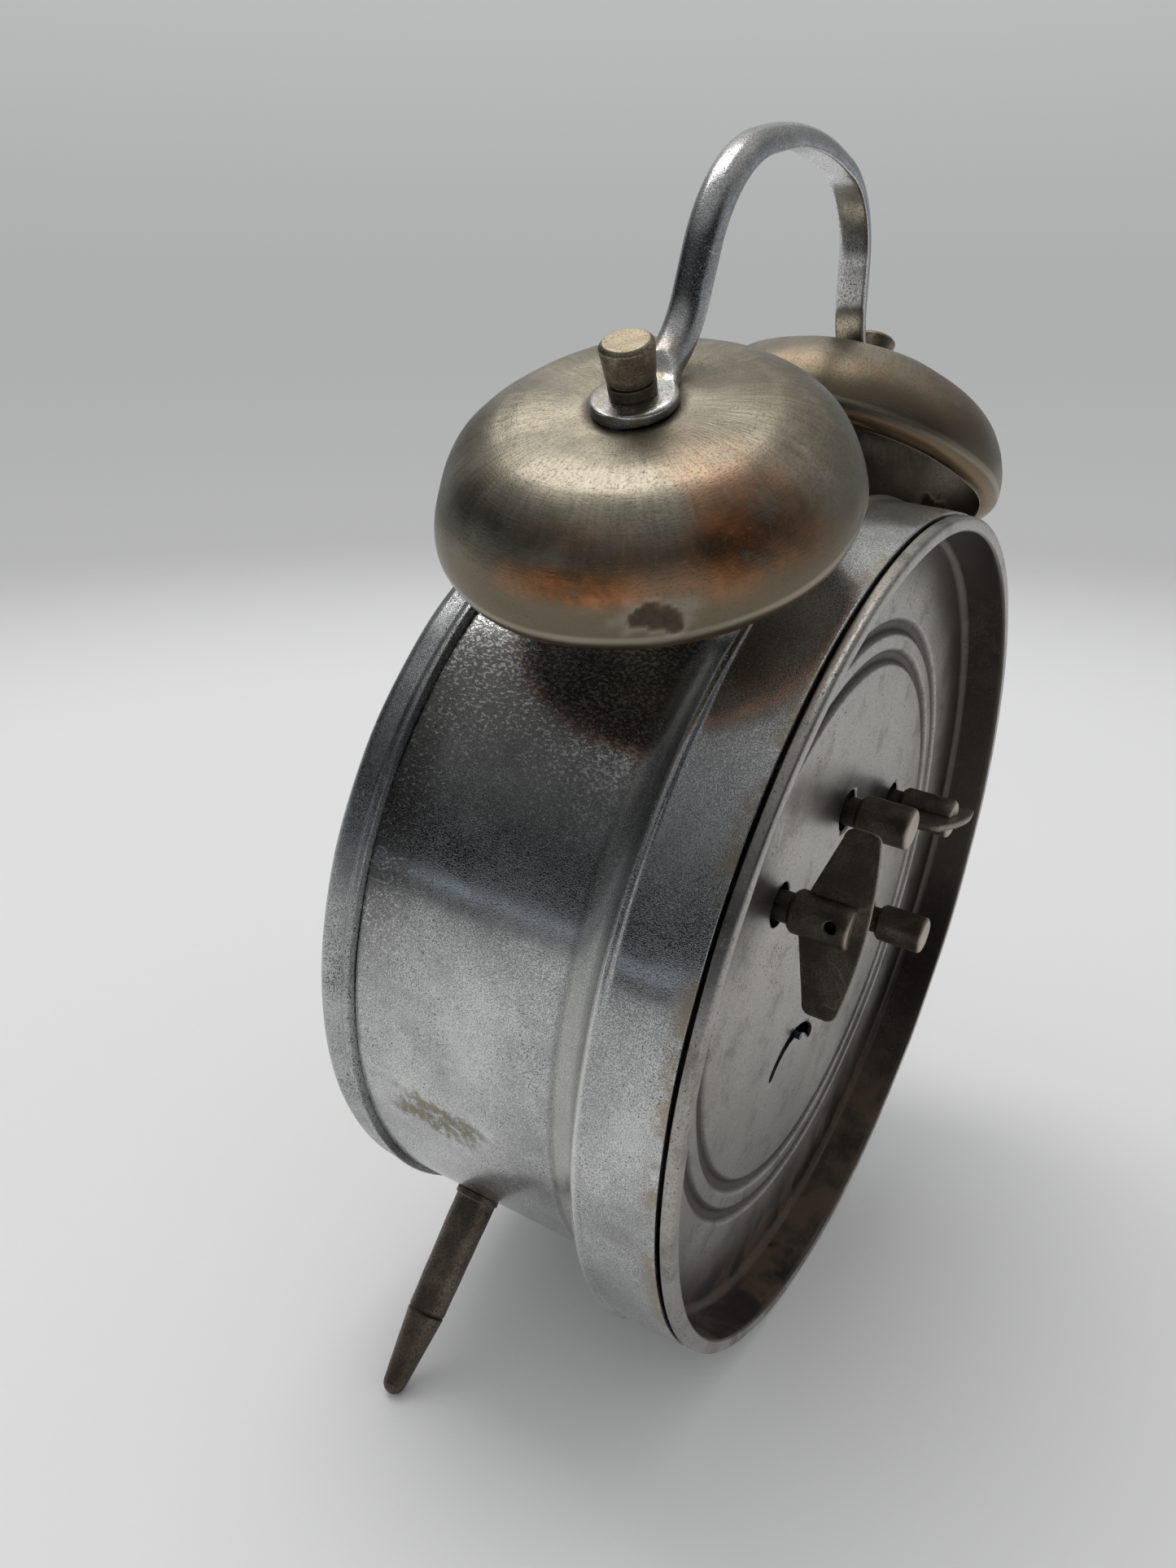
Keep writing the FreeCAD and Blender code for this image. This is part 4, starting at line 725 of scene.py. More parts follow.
bell = {
    "rim": 59.8, "rimRadius": 20.5, "radius": 22.45, "waist": 2.3, "gauge": 0.9, "rimRound": 2.33,
    "shoulderRound": 11.0, "shoulderAngle": 75.05, "crownRound": 55.4, "dimple": 10.5,
    "floor": 13.4, "crown": 13.6, "hole": 1.75,
    "chipAngle": {"left": 205.0, "right": 329.0}, "chipHeight": 4.4,
    # how strongly each bell shows its copper patches and its bare lip
    "copperShare": {"left": 0.25, "right": 1.0}, "bareShare": {"left": 0.2, "right": 1.0},
    # copper patches: angle round the bell, height, half width in degrees, half height, strength
    "copper": [(300.0, 9.0, 19.0, 4.0, 1.0), (350.0, 7.2, 21.0, 1.6, 1.0), (348.0, 10.8, 16.0, 1.0, 0.4),
               (322.0, 8.2, 26.0, 2.6, 0.6), (140.0, 8.0, 24.0, 2.2, 0.7)],
    "metal": {
        "dark": (0.24, 0.215, 0.165, 1), "light": (0.43, 0.385, 0.30, 1), "pit": (0.06, 0.045, 0.03, 1),
        "scratch": (0.62, 0.585, 0.50, 1), "cloudScale": 0.08, "fineness": 5.0, "pitScale": 3.6,
        "pits": 0.35, "scuffs": 0.2, "streaks": 0.34, "roughness": (0.29, 0.40), "metal": 1.0,
        "relief": 0.40, "grain": 0.5, "bump": 0.00004, "grainScale": 3.6, "cover": 0.6,
        "spots": 0.22, "rubbed": 0.22},
}


def bellRelief(side):
    seed = {"left": 50, "right": 40}[side]

    def relief(local):
        angle = np.degrees(np.arctan2(local[..., 2], local[..., 0])) % 360
        height = local[..., 1] - bell["rim"]
        outside = (np.hypot(local[..., 0], local[..., 2]) > 0) * 1.0
        offset = waves(local, seed, 15.0, 0.11) + waves(local, seed + 1, 6.0, 0.016)
        ragged = waves(local, seed + 2, 2.2, 0.28) + waves(local, seed + 3, 5.0, 0.22)
        chip = ragged + np.hypot((angle - bell["chipAngle"][side]) / 6.0,
                                 (height - bell["chipHeight"]) / 1.25)
        chipMask = softSpot(chip, 0.22) * outside
        drift = waves(local, seed + 4, 13.0, 0.25)
        copper = np.zeros_like(height)
        for middle, level, wide, tall, strength in bell["copper"]:
            away = np.abs((angle - middle + 180) % 360 - 180) / wide
            near = np.exp(-(away ** 4 + (np.abs(height - level) / tall) ** 4))
            copper = np.maximum(copper, strength * near)
        copper = np.clip(copper * (1 + drift), 0, 1) * bell["copperShare"][side]
        halo = softSpot(chip * 0.68, 0.4) * (1 - chipMask)
        bare = np.full_like(height, bell["bareShare"][side])
        masks = {"chip": chipMask, "copper": copper, "halo": halo, "bare": bare}
        return offset - 0.16 * chipMask, masks
    return relief


def bellExtra(make, vector, field, look):
    # strokes out from the crown, copper under thin plate, a copper lip, a chip down to dark metal; the lower part
    # darkened as a painted dark reflection, and a painted shadow round the nut
    radius = field["Radius"]
    along = minus(make, field["Depth"], bell["rim"])
    patchy = noise(make, vector, 0.35, 4.0, 0.6)
    strokes = noise(make, field["Rays"], 2.2, 3.0, 0.65)
    crownward = times(make, between(make, radius, 4.0, 9.0), between(make, along, 7.0, 11.0))
    look.shade(plus(make, 1.0, times(make, crownward, times(make, minus(make, strokes, 0.5), 0.8))))
    look.lift(times(make, strokes, crownward), 0.7)
    # painted dark reflection: the lower part of the bell is darkened
    darkReflectionBelow = between(make, along, 10.5, 4.0)
    look.tint(darkReflectionBelow, 0.9, (0.145, 0.117, 0.078, 1))
    copper = times(make, ownMask(make, "copper"), between(make, patchy, 0.18, 0.44))
    copperTone = mixed(make, between(make, patchy, 0.3, 0.7), (0.15, 0.07, 0.032, 1), (0.42, 0.17, 0.065, 1))
    look.tint(copper, 0.9, copperTone)
    line = shareOf(make, along, 2.1, 0.2, 0.5)
    look.tint(line, 0.4, (0.50, 0.45, 0.36, 1))
    lip = times(make, between(make, along, 1.7, 0.8), between(make, patchy, 0.28, 0.40))
    lip = times(make, lip, ownMask(make, "bare"))
    look.tint(lip, 0.85, (0.42, 0.19, 0.09, 1))
    crown = times(make, between(make, radius, 12.5, 8.0), between(make, patchy, 0.42, 0.60))
    look.tint(crown, 0.4, (0.20, 0.18, 0.155, 1))
    # painted shadow round the foot of the nut
    nutShadow = between(make, radius, 5.9, 4.6)
    look.tint(nutShadow, 0.8, (0.05, 0.042, 0.035, 1))
    look.tint(ownMask(make, "halo"), 0.35, (0.42, 0.40, 0.35, 1))
    chip = ownMask(make, "chip")
    mottle = noise(make, vector, 1.6, 3.0, 0.7)
    chipTone = mixed(make, mottle, (0.02, 0.012, 0.008, 1), (0.10, 0.068, 0.034, 1))
    look.tint(chip, 1.0, chipTone)
    look.roughen(chip, 0.35)
    look.roughen(nutShadow, 0.15)
    look.dull(chip, 0.75)


def makeBell(side):
    turn = math.radians(bell["shoulderAngle"])
    thick, thin, gauge = bell["shoulderRound"], bell["shoulderRound"] - bell["gauge"], bell["gauge"]
    middle, waist, rim = bell["radius"] - thick, bell["waist"], bell["rim"]
    outline = [
        (bell["rimRadius"], 0, bell["rimRound"]), (bell["radius"], waist, thick),
        (middle + thick * math.cos(turn), waist + thick * math.sin(turn), bell["crownRound"]),
        (bell["dimple"], bell["crown"] - 0.08, 0, 3.0), (bell["hole"], bell["floor"]),
        (bell["hole"], bell["floor"] - gauge),
        (bell["dimple"] + 0.2, bell["crown"] - gauge, gauge - bell["crownRound"], 2.0),
        (middle + thin * math.cos(turn), waist + thin * math.sin(turn), -thin),
        (bell["radius"] - gauge, waist, gauge - bell["rimRound"]), (bell["rimRadius"] - 0.15, gauge)]
    outline = [(vertex[0], vertex[1] + rim, *vertex[2:]) for vertex in outline]
    place = bellPlaces[side]
    piece = turned("bell_cup_" + side, outline, place, around=432, step=0.45, soft=0.3,
                   relief=bellRelief(side))
    material = wornMetal("bellMetal_" + side, place, bell["metal"], bellExtra)
    settle(piece, "clock", "bell_metal", material, "bell_" + side)


# turned nuts on the bells

nut = {
    "foot": 74.6, "top": 80.1, "footRadius": 2.4, "topRadius": 2.75, "stud": 1.5, "line": 0.25,
    "metal": {
        "dark": (0.20, 0.165, 0.115, 1), "light": (0.44, 0.375, 0.27, 1), "pit": (0.05, 0.04, 0.03, 1),
        "scratch": (0.60, 0.53, 0.40, 1), "cloudScale": 0.45, "fineness": 7.0, "pitScale": 4.5,
        "pits": 0.6, "scuffs": 0.5, "streaks": 0.35, "roughness": (0.30, 0.45), "metal": 1.0,
        "relief": 0.4, "grain": 0.4, "bump": 0.00003, "grainScale": 5.0, "cover": 0.8,
        "spots": 0.4, "rubbed": 0.2},
}


def nutExtra(make, vector, field, look):
    # the top is rubbed pale; the foot and the cut line beside the bell are darkened with painted shade
    along = field["Depth"]
    top = between(make, along, nut["top"] - 0.25, nut["top"] - 0.05)
    look.tint(top, 0.7, (0.55, 0.47, 0.34, 1))
    # painted shade at the foot, where the nut meets the bell
    foot = between(make, along, nut["foot"] + 2.4, nut["foot"] + 1.2)
    look.tint(foot, 0.65, (0.05, 0.042, 0.034, 1))


def makeNut(side):
    foot, top, line = nut["foot"], nut["top"], nut["line"]
    low, high = nut["footRadius"], nut["topRadius"]
    outline = [
        (nut["stud"], foot), (low, foot), (low + 0.08, foot + 1.3), (low - line, foot + 1.4),
        (low - line, foot + 1.6), (low + 0.1, foot + 1.7), (high, top - 0.45), (high - 0.45, top),
        (0.6, top - 0.06), (0.01, top - 0.06), (0.01, top - 1.5), (nut["stud"], top - 1.5)]
    place = bellPlaces[side]
    piece = turned("nut_" + side, outline, place, around=96, step=0.3, soft=0.12,
                   relief=lambda local: (waves(local, 60, 2.4, 0.02), {}))
    material = wornMetal("nutBronze_" + side, place, nut["metal"], nutExtra)
    settle(piece, "clock", "nut_bronze", material, "bell_nut_" + side)


for side in ("left", "right"):
    makeBell(side)
    makeNut(side)

# handle: a half-round strip with a flattened eye at each end

handle = {
    "width": 4.0, "thick": 2.6, "eye": 4.5, "eyeThick": 1.4, "foot": (25.2, 71.4), "leg": (22.9, 80.5),
    "shoulder": (19.0, 87.2), "arch": (11.2, 91.2), "top": 92.6, "flatEdge": 0.4,
    "metal": {
        "dark": (0.44, 0.44, 0.44, 1), "light": (0.72, 0.72, 0.72, 1), "pit": (0.05, 0.045, 0.04, 1),
        "scratch": (0.85, 0.85, 0.84, 1), "cloudScale": 0.16, "fineness": 3.0, "pitScale": 4.0,
        "pits": 0.55, "scuffs": 0.8, "streaks": 0.15, "roughness": (0.10, 0.22), "metal": 1.0,
        "relief": 0.15, "grain": 0.25, "bump": 0.00003, "grainScale": 5.0, "cover": 0.7,
        "spots": 0.35, "rubbed": 0.2},
}


def arcThrough(start, middle, end, count):
    # points on the circle through three points, from the first to the last
    a, b, c = (np.array(point, float) for point in (start, middle, end))
    sides = 2 * np.array([b - a, c - a])
    centre = np.linalg.solve(sides, [b @ b - a @ a, c @ c - a @ a])
    first, half, last = (math.atan2(*(point - centre)[::-1]) for point in (a, b, c))
    sweep = (last - first + math.pi) % (2 * math.pi) - math.pi
    onWay = (half - first + math.pi) % (2 * math.pi) - math.pi
    if sweep * onWay < 0:
        sweep -= math.copysign(2 * math.pi, sweep)
    angle = first + sweep * np.linspace(0, 1, count)
    return centre + np.linalg.norm(a - centre) * np.column_stack([np.cos(angle), np.sin(angle)])


def handlePath():
    # the middle of the strip in X and Z, from the far side of the right eye to the top of the arch
    lean = math.radians(bellTilt)
    away = np.array([math.sin(lean), math.cos(lean)])
    inward = np.array([-math.cos(lean), math.sin(lean)])
    eye = away * (bell["rim"] + bell["floor"] + handle["thick"] / 2)
    start = eye + inward * (handle["eye"] - 0.8)
    foot, leg, arch = (np.array(handle[name]) for name in ("foot", "leg", "arch"))
    upward = (leg - foot) / np.linalg.norm(leg - foot)
    corner = foot - upward * ((foot - start) @ away / (upward @ away))
    run = np.linalg.norm(corner - start)
    bendEnd = corner + upward * run
    towards = (start - corner) / run + upward
    towards /= np.linalg.norm(towards)
    halfTurn = math.acos(inward @ upward) / 2
    radius = run / math.tan(halfTurn)
    middle = corner + towards * (radius / math.cos(halfTurn) - radius)
    spread = 1 - np.cos(np.linspace(0, math.pi / 2, 30))
    flat = eye - inward * handle["eye"] + inward * (2 * handle["eye"] - 0.8) * spread[:, None]
    top = np.array([0, handle["top"]])
    straight = bendEnd + (leg - bendEnd) * np.linspace(0, 1, 14)[:-1, None]
    path = np.concatenate([
        flat[:-1], arcThrough(start, middle, bendEnd, 24)[:-1], straight,
        arcThrough(leg, handle["shoulder"], arch, 40)[:-1],
        arcThrough(arch, top, arch * [-1, 1], 81)[:41]])
    away = (path - eye) @ inward
    return np.concatenate([path, path[-2::-1] * [-1, 1]]), np.concatenate([away, away[-2::-1]])


def makeHandle():
    path, reach = handlePath()
    along = np.gradient(path, axis=0)
    along /= np.linalg.norm(along, axis=1, keepdims=True)
    out = np.column_stack([along[:, 1], -along[:, 0]])
    eye, half = handle["eye"], handle["width"] / 2
    ring = np.sqrt(np.maximum(eye ** 2 - reach ** 2, 0))
    taper = np.interp(reach, [-eye, 0, eye + 1.8], [0, eye - 0.5, half])
    width = np.where(reach > 0, np.maximum(np.maximum(ring, taper), half), ring)
    rise = np.clip((reach - 3.1) / 3.4, 0, 1)
    rise = rise * rise * (3 - 2 * rise)
    thick = handle["eyeThick"] + (handle["thick"] - handle["eyeThick"]) * rise
    power = 2 / (6.0 - 3.8 * rise)
    angle = np.linspace(0, 2 * math.pi, 72, endpoint=False)
    above = np.sin(angle) >= 0
    bend = np.where(above, power[:, None], 2 / 5)
    across = np.sign(np.cos(angle)) * np.abs(np.cos(angle)) ** bend * width[:, None]
    base = handle["flatEdge"]
    up = np.where(above, (thick[:, None] - base) * np.abs(np.sin(angle)) ** bend,
                  -base * np.abs(np.sin(angle)) ** bend) + base - handle["thick"] / 2
    flat = path[:, None, :] + out[:, None, :] * up[..., None]
    local = np.stack([flat[..., 0], bellDepth + across, flat[..., 1]], -1)
    worn = np.exp(-(np.maximum(reach - 4.0, 0) / 5.0) ** 2)[:, None] + 0 * across
    local += waves(local, 71, 9.0, 0.012)[..., None] * out[:, None, [0, 0, 1]] * [1, 0, 1]
    piece = addGrid("handle_strip", local, masks={"worn": worn}, closedRows=False)
    material = wornMetal("handleChrome", drumPlace, handle["metal"], handleExtra)
    settle(piece, "clock", "handle_chrome", material, "handle")


def handleExtra(make, vector, field, look):
    # plating worn yellow near the eyes, and dark freckles there
    patchy = noise(make, vector, 0.55, 4.0, 0.65)
    worn = times(make, ownMask(make, "worn"), between(make, patchy, 0.40, 0.60))
    look.tint(worn, 0.75, (0.30, 0.25, 0.17, 1))
    look.roughen(worn, 0.16)


makeHandle()

# keys, knobs and feet in dark bronze

key = {
    "hub": 2.7, "neck": 1.9, "neckFront": -7.8, "neckRear": -4.7, "hubRear": 2.8, "knobRear": 2.3,
    "thread": 1.2, "threadRear": -4.0, "wingSpan": 11.3, "wingGauge": 0.9, "wingFront": -3.2,
    "wingRear": 3.4, "wingBow": 56.0, "wingTipFront": -0.9, "wingShoulder": 2.7, "wingCorner": 1.2,
    "crossHole": 0.8, "crossDepth": 0.75, "turns": {"time": -13.0, "alarm": 77.0},
    "metal": {
        "dark": (0.09, 0.075, 0.06, 1), "light": (0.22, 0.19, 0.155, 1), "pit": (0.03, 0.024, 0.02, 1),
        "scratch": (0.40, 0.35, 0.28, 1), "cloudScale": 0.28, "fineness": 6.0, "pitScale": 3.6,
        "pits": 0.6, "scuffs": 0.7, "streaks": 0.35, "roughness": (0.33, 0.48), "metal": 0.95,
        "relief": 0.45, "grain": 0.5, "bump": 0.00003, "grainScale": 5.0, "cover": 0.8,
        "spots": 0.4, "rubbed": 0.3},
}


def hubExtra(rear):
    def extra(make, vector, field, look):
        # the end face and its edge are rubbed pale, the neck is black with old oil
        depth = field["Depth"]
        end = between(make, depth, rear - 0.35, rear - 0.05)
        look.tint(end, 0.8, (0.50, 0.44, 0.35, 1))
        oil = between(make, depth, key["neckRear"] + 0.4, key["neckRear"] - 0.3)
        look.tint(oil, 0.5, (0.03, 0.025, 0.02, 1))
    return extra


def wingExtra(make, vector, field, look):
    # the long edges are rubbed brighter than the faces
    half = key["wingGauge"] / 2
    edge = between(make, maths(make, "ABSOLUTE", split(make, vector)["X"]), half - 0.16, half - 0.3)
    look.tint(edge, 0.45, (0.34, 0.29, 0.22, 1))


def hubPiece(name, place, rear):
    hub, neck, thread = key["hub"], key["neck"], key["thread"]
    outline = [
        (thread, key["neckFront"]), (neck, key["neckFront"]), (neck, key["neckRear"]),
        (hub - 0.4, key["neckRear"] + 0.1), (hub, key["neckRear"] + 0.6), (hub, rear - 0.35),
        (hub - 0.35, rear), (0.6, rear - 0.05), (0.01, rear - 0.05), (0.01, key["threadRear"]),
        (thread, key["threadRear"])]
    return turned(name, outline, place, around=128, step=0.35, soft=0.15,
                  relief=lambda local: (waves(local, 81, 3.0, 0.012), {}))


def makeKey(label):
    place = behind(label + "_key_wind", key["turns"][label])
    hub = hubPiece(label + "_hub", place, key["hubRear"])
    half = key["wingGauge"] / 2 + 0.06
    slot = blockCutter("wing_slot", place, (-half, key["wingFront"] - 0.05, -5), (half, 5, 5))
    centre, basis = place
    sideways = (centre + basis[1] * key["crossDepth"], np.array([basis[1], basis[0], -basis[2]]))
    cross = roundCutter("cross_hole", sideways, key["crossHole"], -5, 5, 48)
    cutOut(hub, [slot, cross])
    material = wornMetal("hubBronze_" + label, place, key["metal"], hubExtra(key["hubRear"]))
    settle(hub, label + "_key", "key_bronze", material, label + "_key_hub")
    front, rear, corner, span = key["wingFront"], key["wingRear"], key["wingCorner"], key["wingSpan"]
    tip, shoulder, top = key["wingTipFront"], key["wingShoulder"], span - corner
    outline = [
        (front, -shoulder), (tip, -top, corner), (tip + corner, -span), (rear - corner, -span, corner),
        (rear, -top, key["wingBow"]), (rear, top, corner), (rear - corner, span),
        (tip + corner, span, corner), (tip, top), (front, shoulder)]
    wing = plate(label + "_wing", outline, key["wingGauge"], place)
    material = wornMetal("wingBronze_" + label, place, key["metal"], wingExtra)
    settle(wing, label + "_key", "key_bronze", material, label + "_key_wing")


makeKey("time")
makeKey("alarm")
for label in ("time", "alarm"):
    place = behind(label + "_set_turn")
    knob = hubPiece(label + "_knob", place, key["knobRear"])
    material = wornMetal("knobBronze_" + label, place, key["metal"], hubExtra(key["knobRear"]))
    settle(knob, label + "_set_knob", "key_bronze", material, label + "_set_knob")

foot = {
    "angle": 41.0, "depth": -36.5, "collar": 2.95, "root": 2.75, "waist": 2.45, "tip": 1.5,
    "band": 0.6, "stud": 1.5,
    "metal": {
        "dark": (0.12, 0.095, 0.072, 1), "light": (0.30, 0.25, 0.195, 1), "pit": (0.03, 0.024, 0.018, 1),
        "scratch": (0.42, 0.37, 0.30, 1), "cloudScale": 0.22, "fineness": 5.0, "pitScale": 3.0,
        "pits": 0.7, "scuffs": 0.6, "streaks": 0.45, "roughness": (0.32, 0.46), "metal": 0.95,
        "relief": 0.6, "grain": 0.5, "bump": 0.00004, "grainScale": 4.0, "cover": 0.8,
        "spots": 0.45, "rubbed": 0.3},
}


def footExtra(make, vector, field, look):
    # the lower half is darker, and the cut ring is darkest
    depth = field["Depth"]
    low = between(make, depth, footBand - 1.0, footBand + 4.0)
    look.tint(low, 0.45, (0.08, 0.06, 0.048, 1))
    ring = shareOf(make, depth, footBand, 0.15, 0.3)
    look.tint(ring, 0.7, (0.04, 0.03, 0.022, 1))


# the feet and the ring's rear edge stand on one level once the drum leans back
lean = math.asin(-axisDir[2])
standHeight = case["ring"] * math.cos(lean) + case["rear"] * math.sin(lean)
footReach = (standHeight - foot["depth"] * math.sin(lean) - foot["tip"]) / (
    math.cos(math.radians(foot["angle"])) * math.cos(lean)) + foot["tip"]
footBand = case["barrel"] + foot["band"] * (footReach - case["barrel"])


def makeFoot(side, sign):
    place = outwards(sign * (180 - foot["angle"]), foot["depth"])
    wall, waist = case["barrel"], foot["waist"]
    outline = [
        (0, wall - 4.5), (foot["stud"], wall - 4.5), (foot["stud"], wall + 0.1), (foot["collar"], wall + 0.1),
        (foot["collar"], wall + 0.9), (foot["root"], wall + 1.0), (waist, footBand - 0.2),
        (waist - 0.2, footBand), (waist, footBand + 0.2), (foot["tip"], footReach - foot["tip"], foot["tip"]),
        (0, footReach)]
    piece = turned("leg_" + side, outline, place, around=128, step=0.6, soft=0.08,
                   relief=lambda local: (waves(local, 91, 5.0, 0.015), {}))
    material = wornMetal("footBronze_" + side, place, foot["metal"], footExtra)
    settle(piece, "clock", "foot_bronze", material, "foot_" + side)


makeFoot("left", -1)
makeFoot("right", 1)

# glass and dial; the hands keep their own shapes and get their finish further down

front = {
    "glassRadius": 48.4, "glassRear": -48.1, "glassGauge": 1.0, "glassRise": 0.9, "glassDome": 1125.0,
    "ringRadius": 48.7, "ringStep": 46.6, "dialRear": -41.7, "dialGauge": 0.5, "trackOuter": 42.2,
    "trackInner": 40.4, "hourInner": 38.9, "numberCircle": 33.2, "numberSize": 8.6, "ink": 0.05,
    "alarmTrack": 17.5,
}


def makeGlass():
    flat, rear, gauge = bezel["eye"] - 0.6, front["glassRear"], front["glassGauge"]
    rise, dome = front["glassRise"], front["glassDome"]
    outline = [(0, rear - rise, dome), (flat, rear), (front["glassRadius"], rear),
               (front["glassRadius"], rear - gauge), (flat, rear - gauge, -dome), (0, rear - rise - gauge)]
    piece = turned("glass_pane", outline, around=192, step=3.0, soft=0.15)
    material, make, shader, output = newMaterial("clearGlass")
    vector = pieceVector(make, drumPlace)
    dust = between(make, noise(make, vector, 2.6, 4.0, 0.7), 0.62, 0.74)
    smear = noise(make, vector, 0.08, 3.0, 0.6)
    rough = plus(make, times(make, dust, 0.25), times(make, smear, 0.05))
    feed(shader, Base_Color=(0.97, 0.985, 0.98, 1), Roughness=rough, Transmission_Weight=1.0, IOR=1.45)
    # most light goes straight through, so that the dial isn't left in the dark
    clear = make("BsdfTransparent", {"Color": (0.96, 0.975, 0.97, 1)})
    ray = make("LightPath").outputs["Is Shadow Ray"]
    both = make("MixShader", {0: ray, 1: shader.outputs[0], 2: clear.outputs[0]})
    material.node_tree.links.new(both.outputs[0], output.inputs["Surface"])
    settle(piece, "clock", "glass", material, "front_glass")


makeGlass()


def paint(name, colour, roughness, speck, speckAmount=0.35):
    # matt or satin paint with a faint mottle, a few age spots and a fine grain
    material, make, shader, _ = newMaterial(name)
    vector = pieceVector(make, drumPlace)
    mottle = noise(make, vector, 0.09, 4.0, 0.6)
    spots = grouped(make, specks, Vector=vector, Scale=2.2, Amount=speckAmount)["Mask"]
    darker = tuple(channel * 0.86 for channel in colour[:3]) + (1,)
    tone = mixed(make, between(make, mottle, 0.35, 0.7), darker, colour)
    tone = mixed(make, times(make, spots, 0.6), tone, speck)
    tooth = noise(make, vector, 9.0, 3.0, 0.6)
    rough = plus(make, roughness, times(make, tooth, 0.12))
    bump = make("Bump", {"Height": tooth, "Strength": 0.6, "Distance": 0.00002}).outputs[0]
    feed(shader, Base_Color=tone, Roughness=rough, Normal=bump)
    return material


def dialMaterial():
    # cream paint that has yellowed towards the rim
    material = paint("dialPaint", (0.80, 0.77, 0.67, 1), 0.42, (0.30, 0.22, 0.12, 1))
    make = maker(material.node_tree)
    shader = [node for node in material.node_tree.nodes if node.type == "BSDF_PRINCIPLED"][0]
    tone = shader.inputs["Base Color"].links[0].from_socket
    field = grouped(make, turnedField, Vector=pieceVector(make, drumPlace))
    aged = mixed(make, times(make, between(make, field["Radius"], 26.0, 48.0), 0.45),
                 tone, (0.60, 0.50, 0.33, 1))
    feed(shader, Base_Color=aged)
    return material


def flatBars(angles, inner, outer, width, depth, thick):
    # radial bars on the dial: eight corners each, angles from the top towards +X
    corners = []
    for side in (-0.5, 0.5):
        for radius in (inner, outer):
            for height in (depth, depth - thick):
                corners.append((side * width, height, radius))
    corners = np.array(corners)
    turn = np.radians(angles)[:, None]
    x, y, z = corners.T
    points = np.stack([x * np.cos(turn) + z * np.sin(turn), y + 0 * turn,
                       z * np.cos(turn) - x * np.sin(turn)], -1)
    one = np.array([[0, 1, 3, 2], [4, 6, 7, 5], [0, 4, 5, 1],
                    [2, 3, 7, 6], [0, 2, 6, 4], [1, 5, 7, 3]])
    faces = one[None] + 8 * np.arange(len(angles))[:, None, None]
    return points.reshape(-1, 3), faces.reshape(-1, 4)


def makeDialPrint():
    face, ink = front["dialRear"] - front["dialGauge"], front["ink"]
    minutes = np.arange(60) * 6.0
    hours = minutes[::5]
    quarters = np.arange(48) * 7.5
    outer, alarm, raised = front["trackOuter"], front["alarmTrack"], face + 0.01
    sets = [flatBars(minutes, front["trackInner"], outer, 0.35, raised, ink),
            flatBars(hours, front["hourInner"], outer - 0.01, 1.1, raised, ink * 1.1),
            flatBars(quarters, alarm - 1.2, alarm, 0.22, raised, ink),
            flatBars(quarters[::4], alarm - 2.2, alarm - 0.01, 0.4, raised, ink * 1.1)]
    points, faces, start = [], [], 0
    for some, theirs in sets:
        points.append(some)
        faces.append(theirs + start)
        start += len(some)
    marks = addMesh("dial_marks", np.concatenate(points), np.concatenate(faces))
    marks.data.shade_flat()
    dialInk = paint("dialInk", (0.02, 0.02, 0.022, 1), 0.45, (0.2, 0.17, 0.12, 1))
    settle(marks, "clock", "hand_black", dialInk)
    # two thin circles, each a band between two radii
    for name, radius in (("minute_circle", outer), ("alarm_circle", alarm)):
        low, wide = face - ink * 1.2, radius + 0.3
        band = turned(name, [(radius, raised), (wide, raised), (wide, low), (radius, low)],
                      around=240, step=1, soft=0.005)
        settle(band, "clock", "hand_black", dialInk)
    places, rows, begin = [], [], 0
    for hour in range(1, 13):
        curve = bpy.data.curves.new("number", "FONT")
        curve.body = str(hour)
        curve.size = front["numberSize"]
        curve.extrude = ink / 2
        curve.align_x = curve.align_y = "CENTER"
        written = newPiece("number", curve)
        graph = bpy.context.evaluated_depsgraph_get()
        mesh = bpy.data.meshes.new_from_object(written.evaluated_get(graph), depsgraph=graph)
        flat = np.zeros(len(mesh.vertices) * 3)
        mesh.vertices.foreach_get("co", flat)
        flat = flat.reshape(-1, 3)
        flat[:, :2] -= (flat[:, :2].max(0) + flat[:, :2].min(0)) / 2
        turn = math.radians(hour * 30)
        across, up = front["numberCircle"] * math.sin(turn), front["numberCircle"] * math.cos(turn)
        places.append(np.column_stack([flat[:, 0] * 0.92 + across, face - ink / 2 - flat[:, 2],
                                       flat[:, 1] + up]))
        rows += [[corner + begin for corner in face.vertices] for face in mesh.polygons]
        begin += len(flat)
        bpy.data.objects.remove(written)
    numbers = bpy.data.meshes.new("dial_numbers")
    numbers.from_pydata(toRow(np.concatenate(places)).tolist(), [], rows)
    numbers.update()
    settle(newPiece("dial_numbers", numbers), "clock", "hand_black", dialInk)


makeDialPrint()


def makeInnerRing():
    face, ring = front["dialRear"] - front["dialGauge"], front["ringRadius"]
    outline = [(ring, face), (ring, front["glassRear"]), (front["ringStep"], front["glassRear"]),
               (front["ringStep"] + 0.8, face)]
    piece = turned("inner_ring", outline, around=300, step=0.8, soft=0.12)
    values = dict(cover["metal"], dark=(0.62, 0.60, 0.55, 1), light=(0.80, 0.78, 0.72, 1), pits=0.3,
                  roughness=(0.3, 0.42))
    settle(piece, "clock", "dial_ring", wornMetal("ringSatin", drumPlace, values), "dial_ring")


makeInnerRing()

# springs: even coils of flat strip, wound outwards round each arbor

spring = {
    "main": {"turns": 9.0, "thick": 0.35},
    "hair": {"turns": 7.0, "thick": 0.14},
}


def nodePoints(node):
    # a node's own points in the drum's frame, in mm
    mesh = nodes[node].data
    flat = np.zeros(len(mesh.vertices) * 3)
    mesh.vertices.foreach_get("co", flat)
    return (flat.reshape(-1, 3) - lipSpot) @ drumBasis.T * 1000


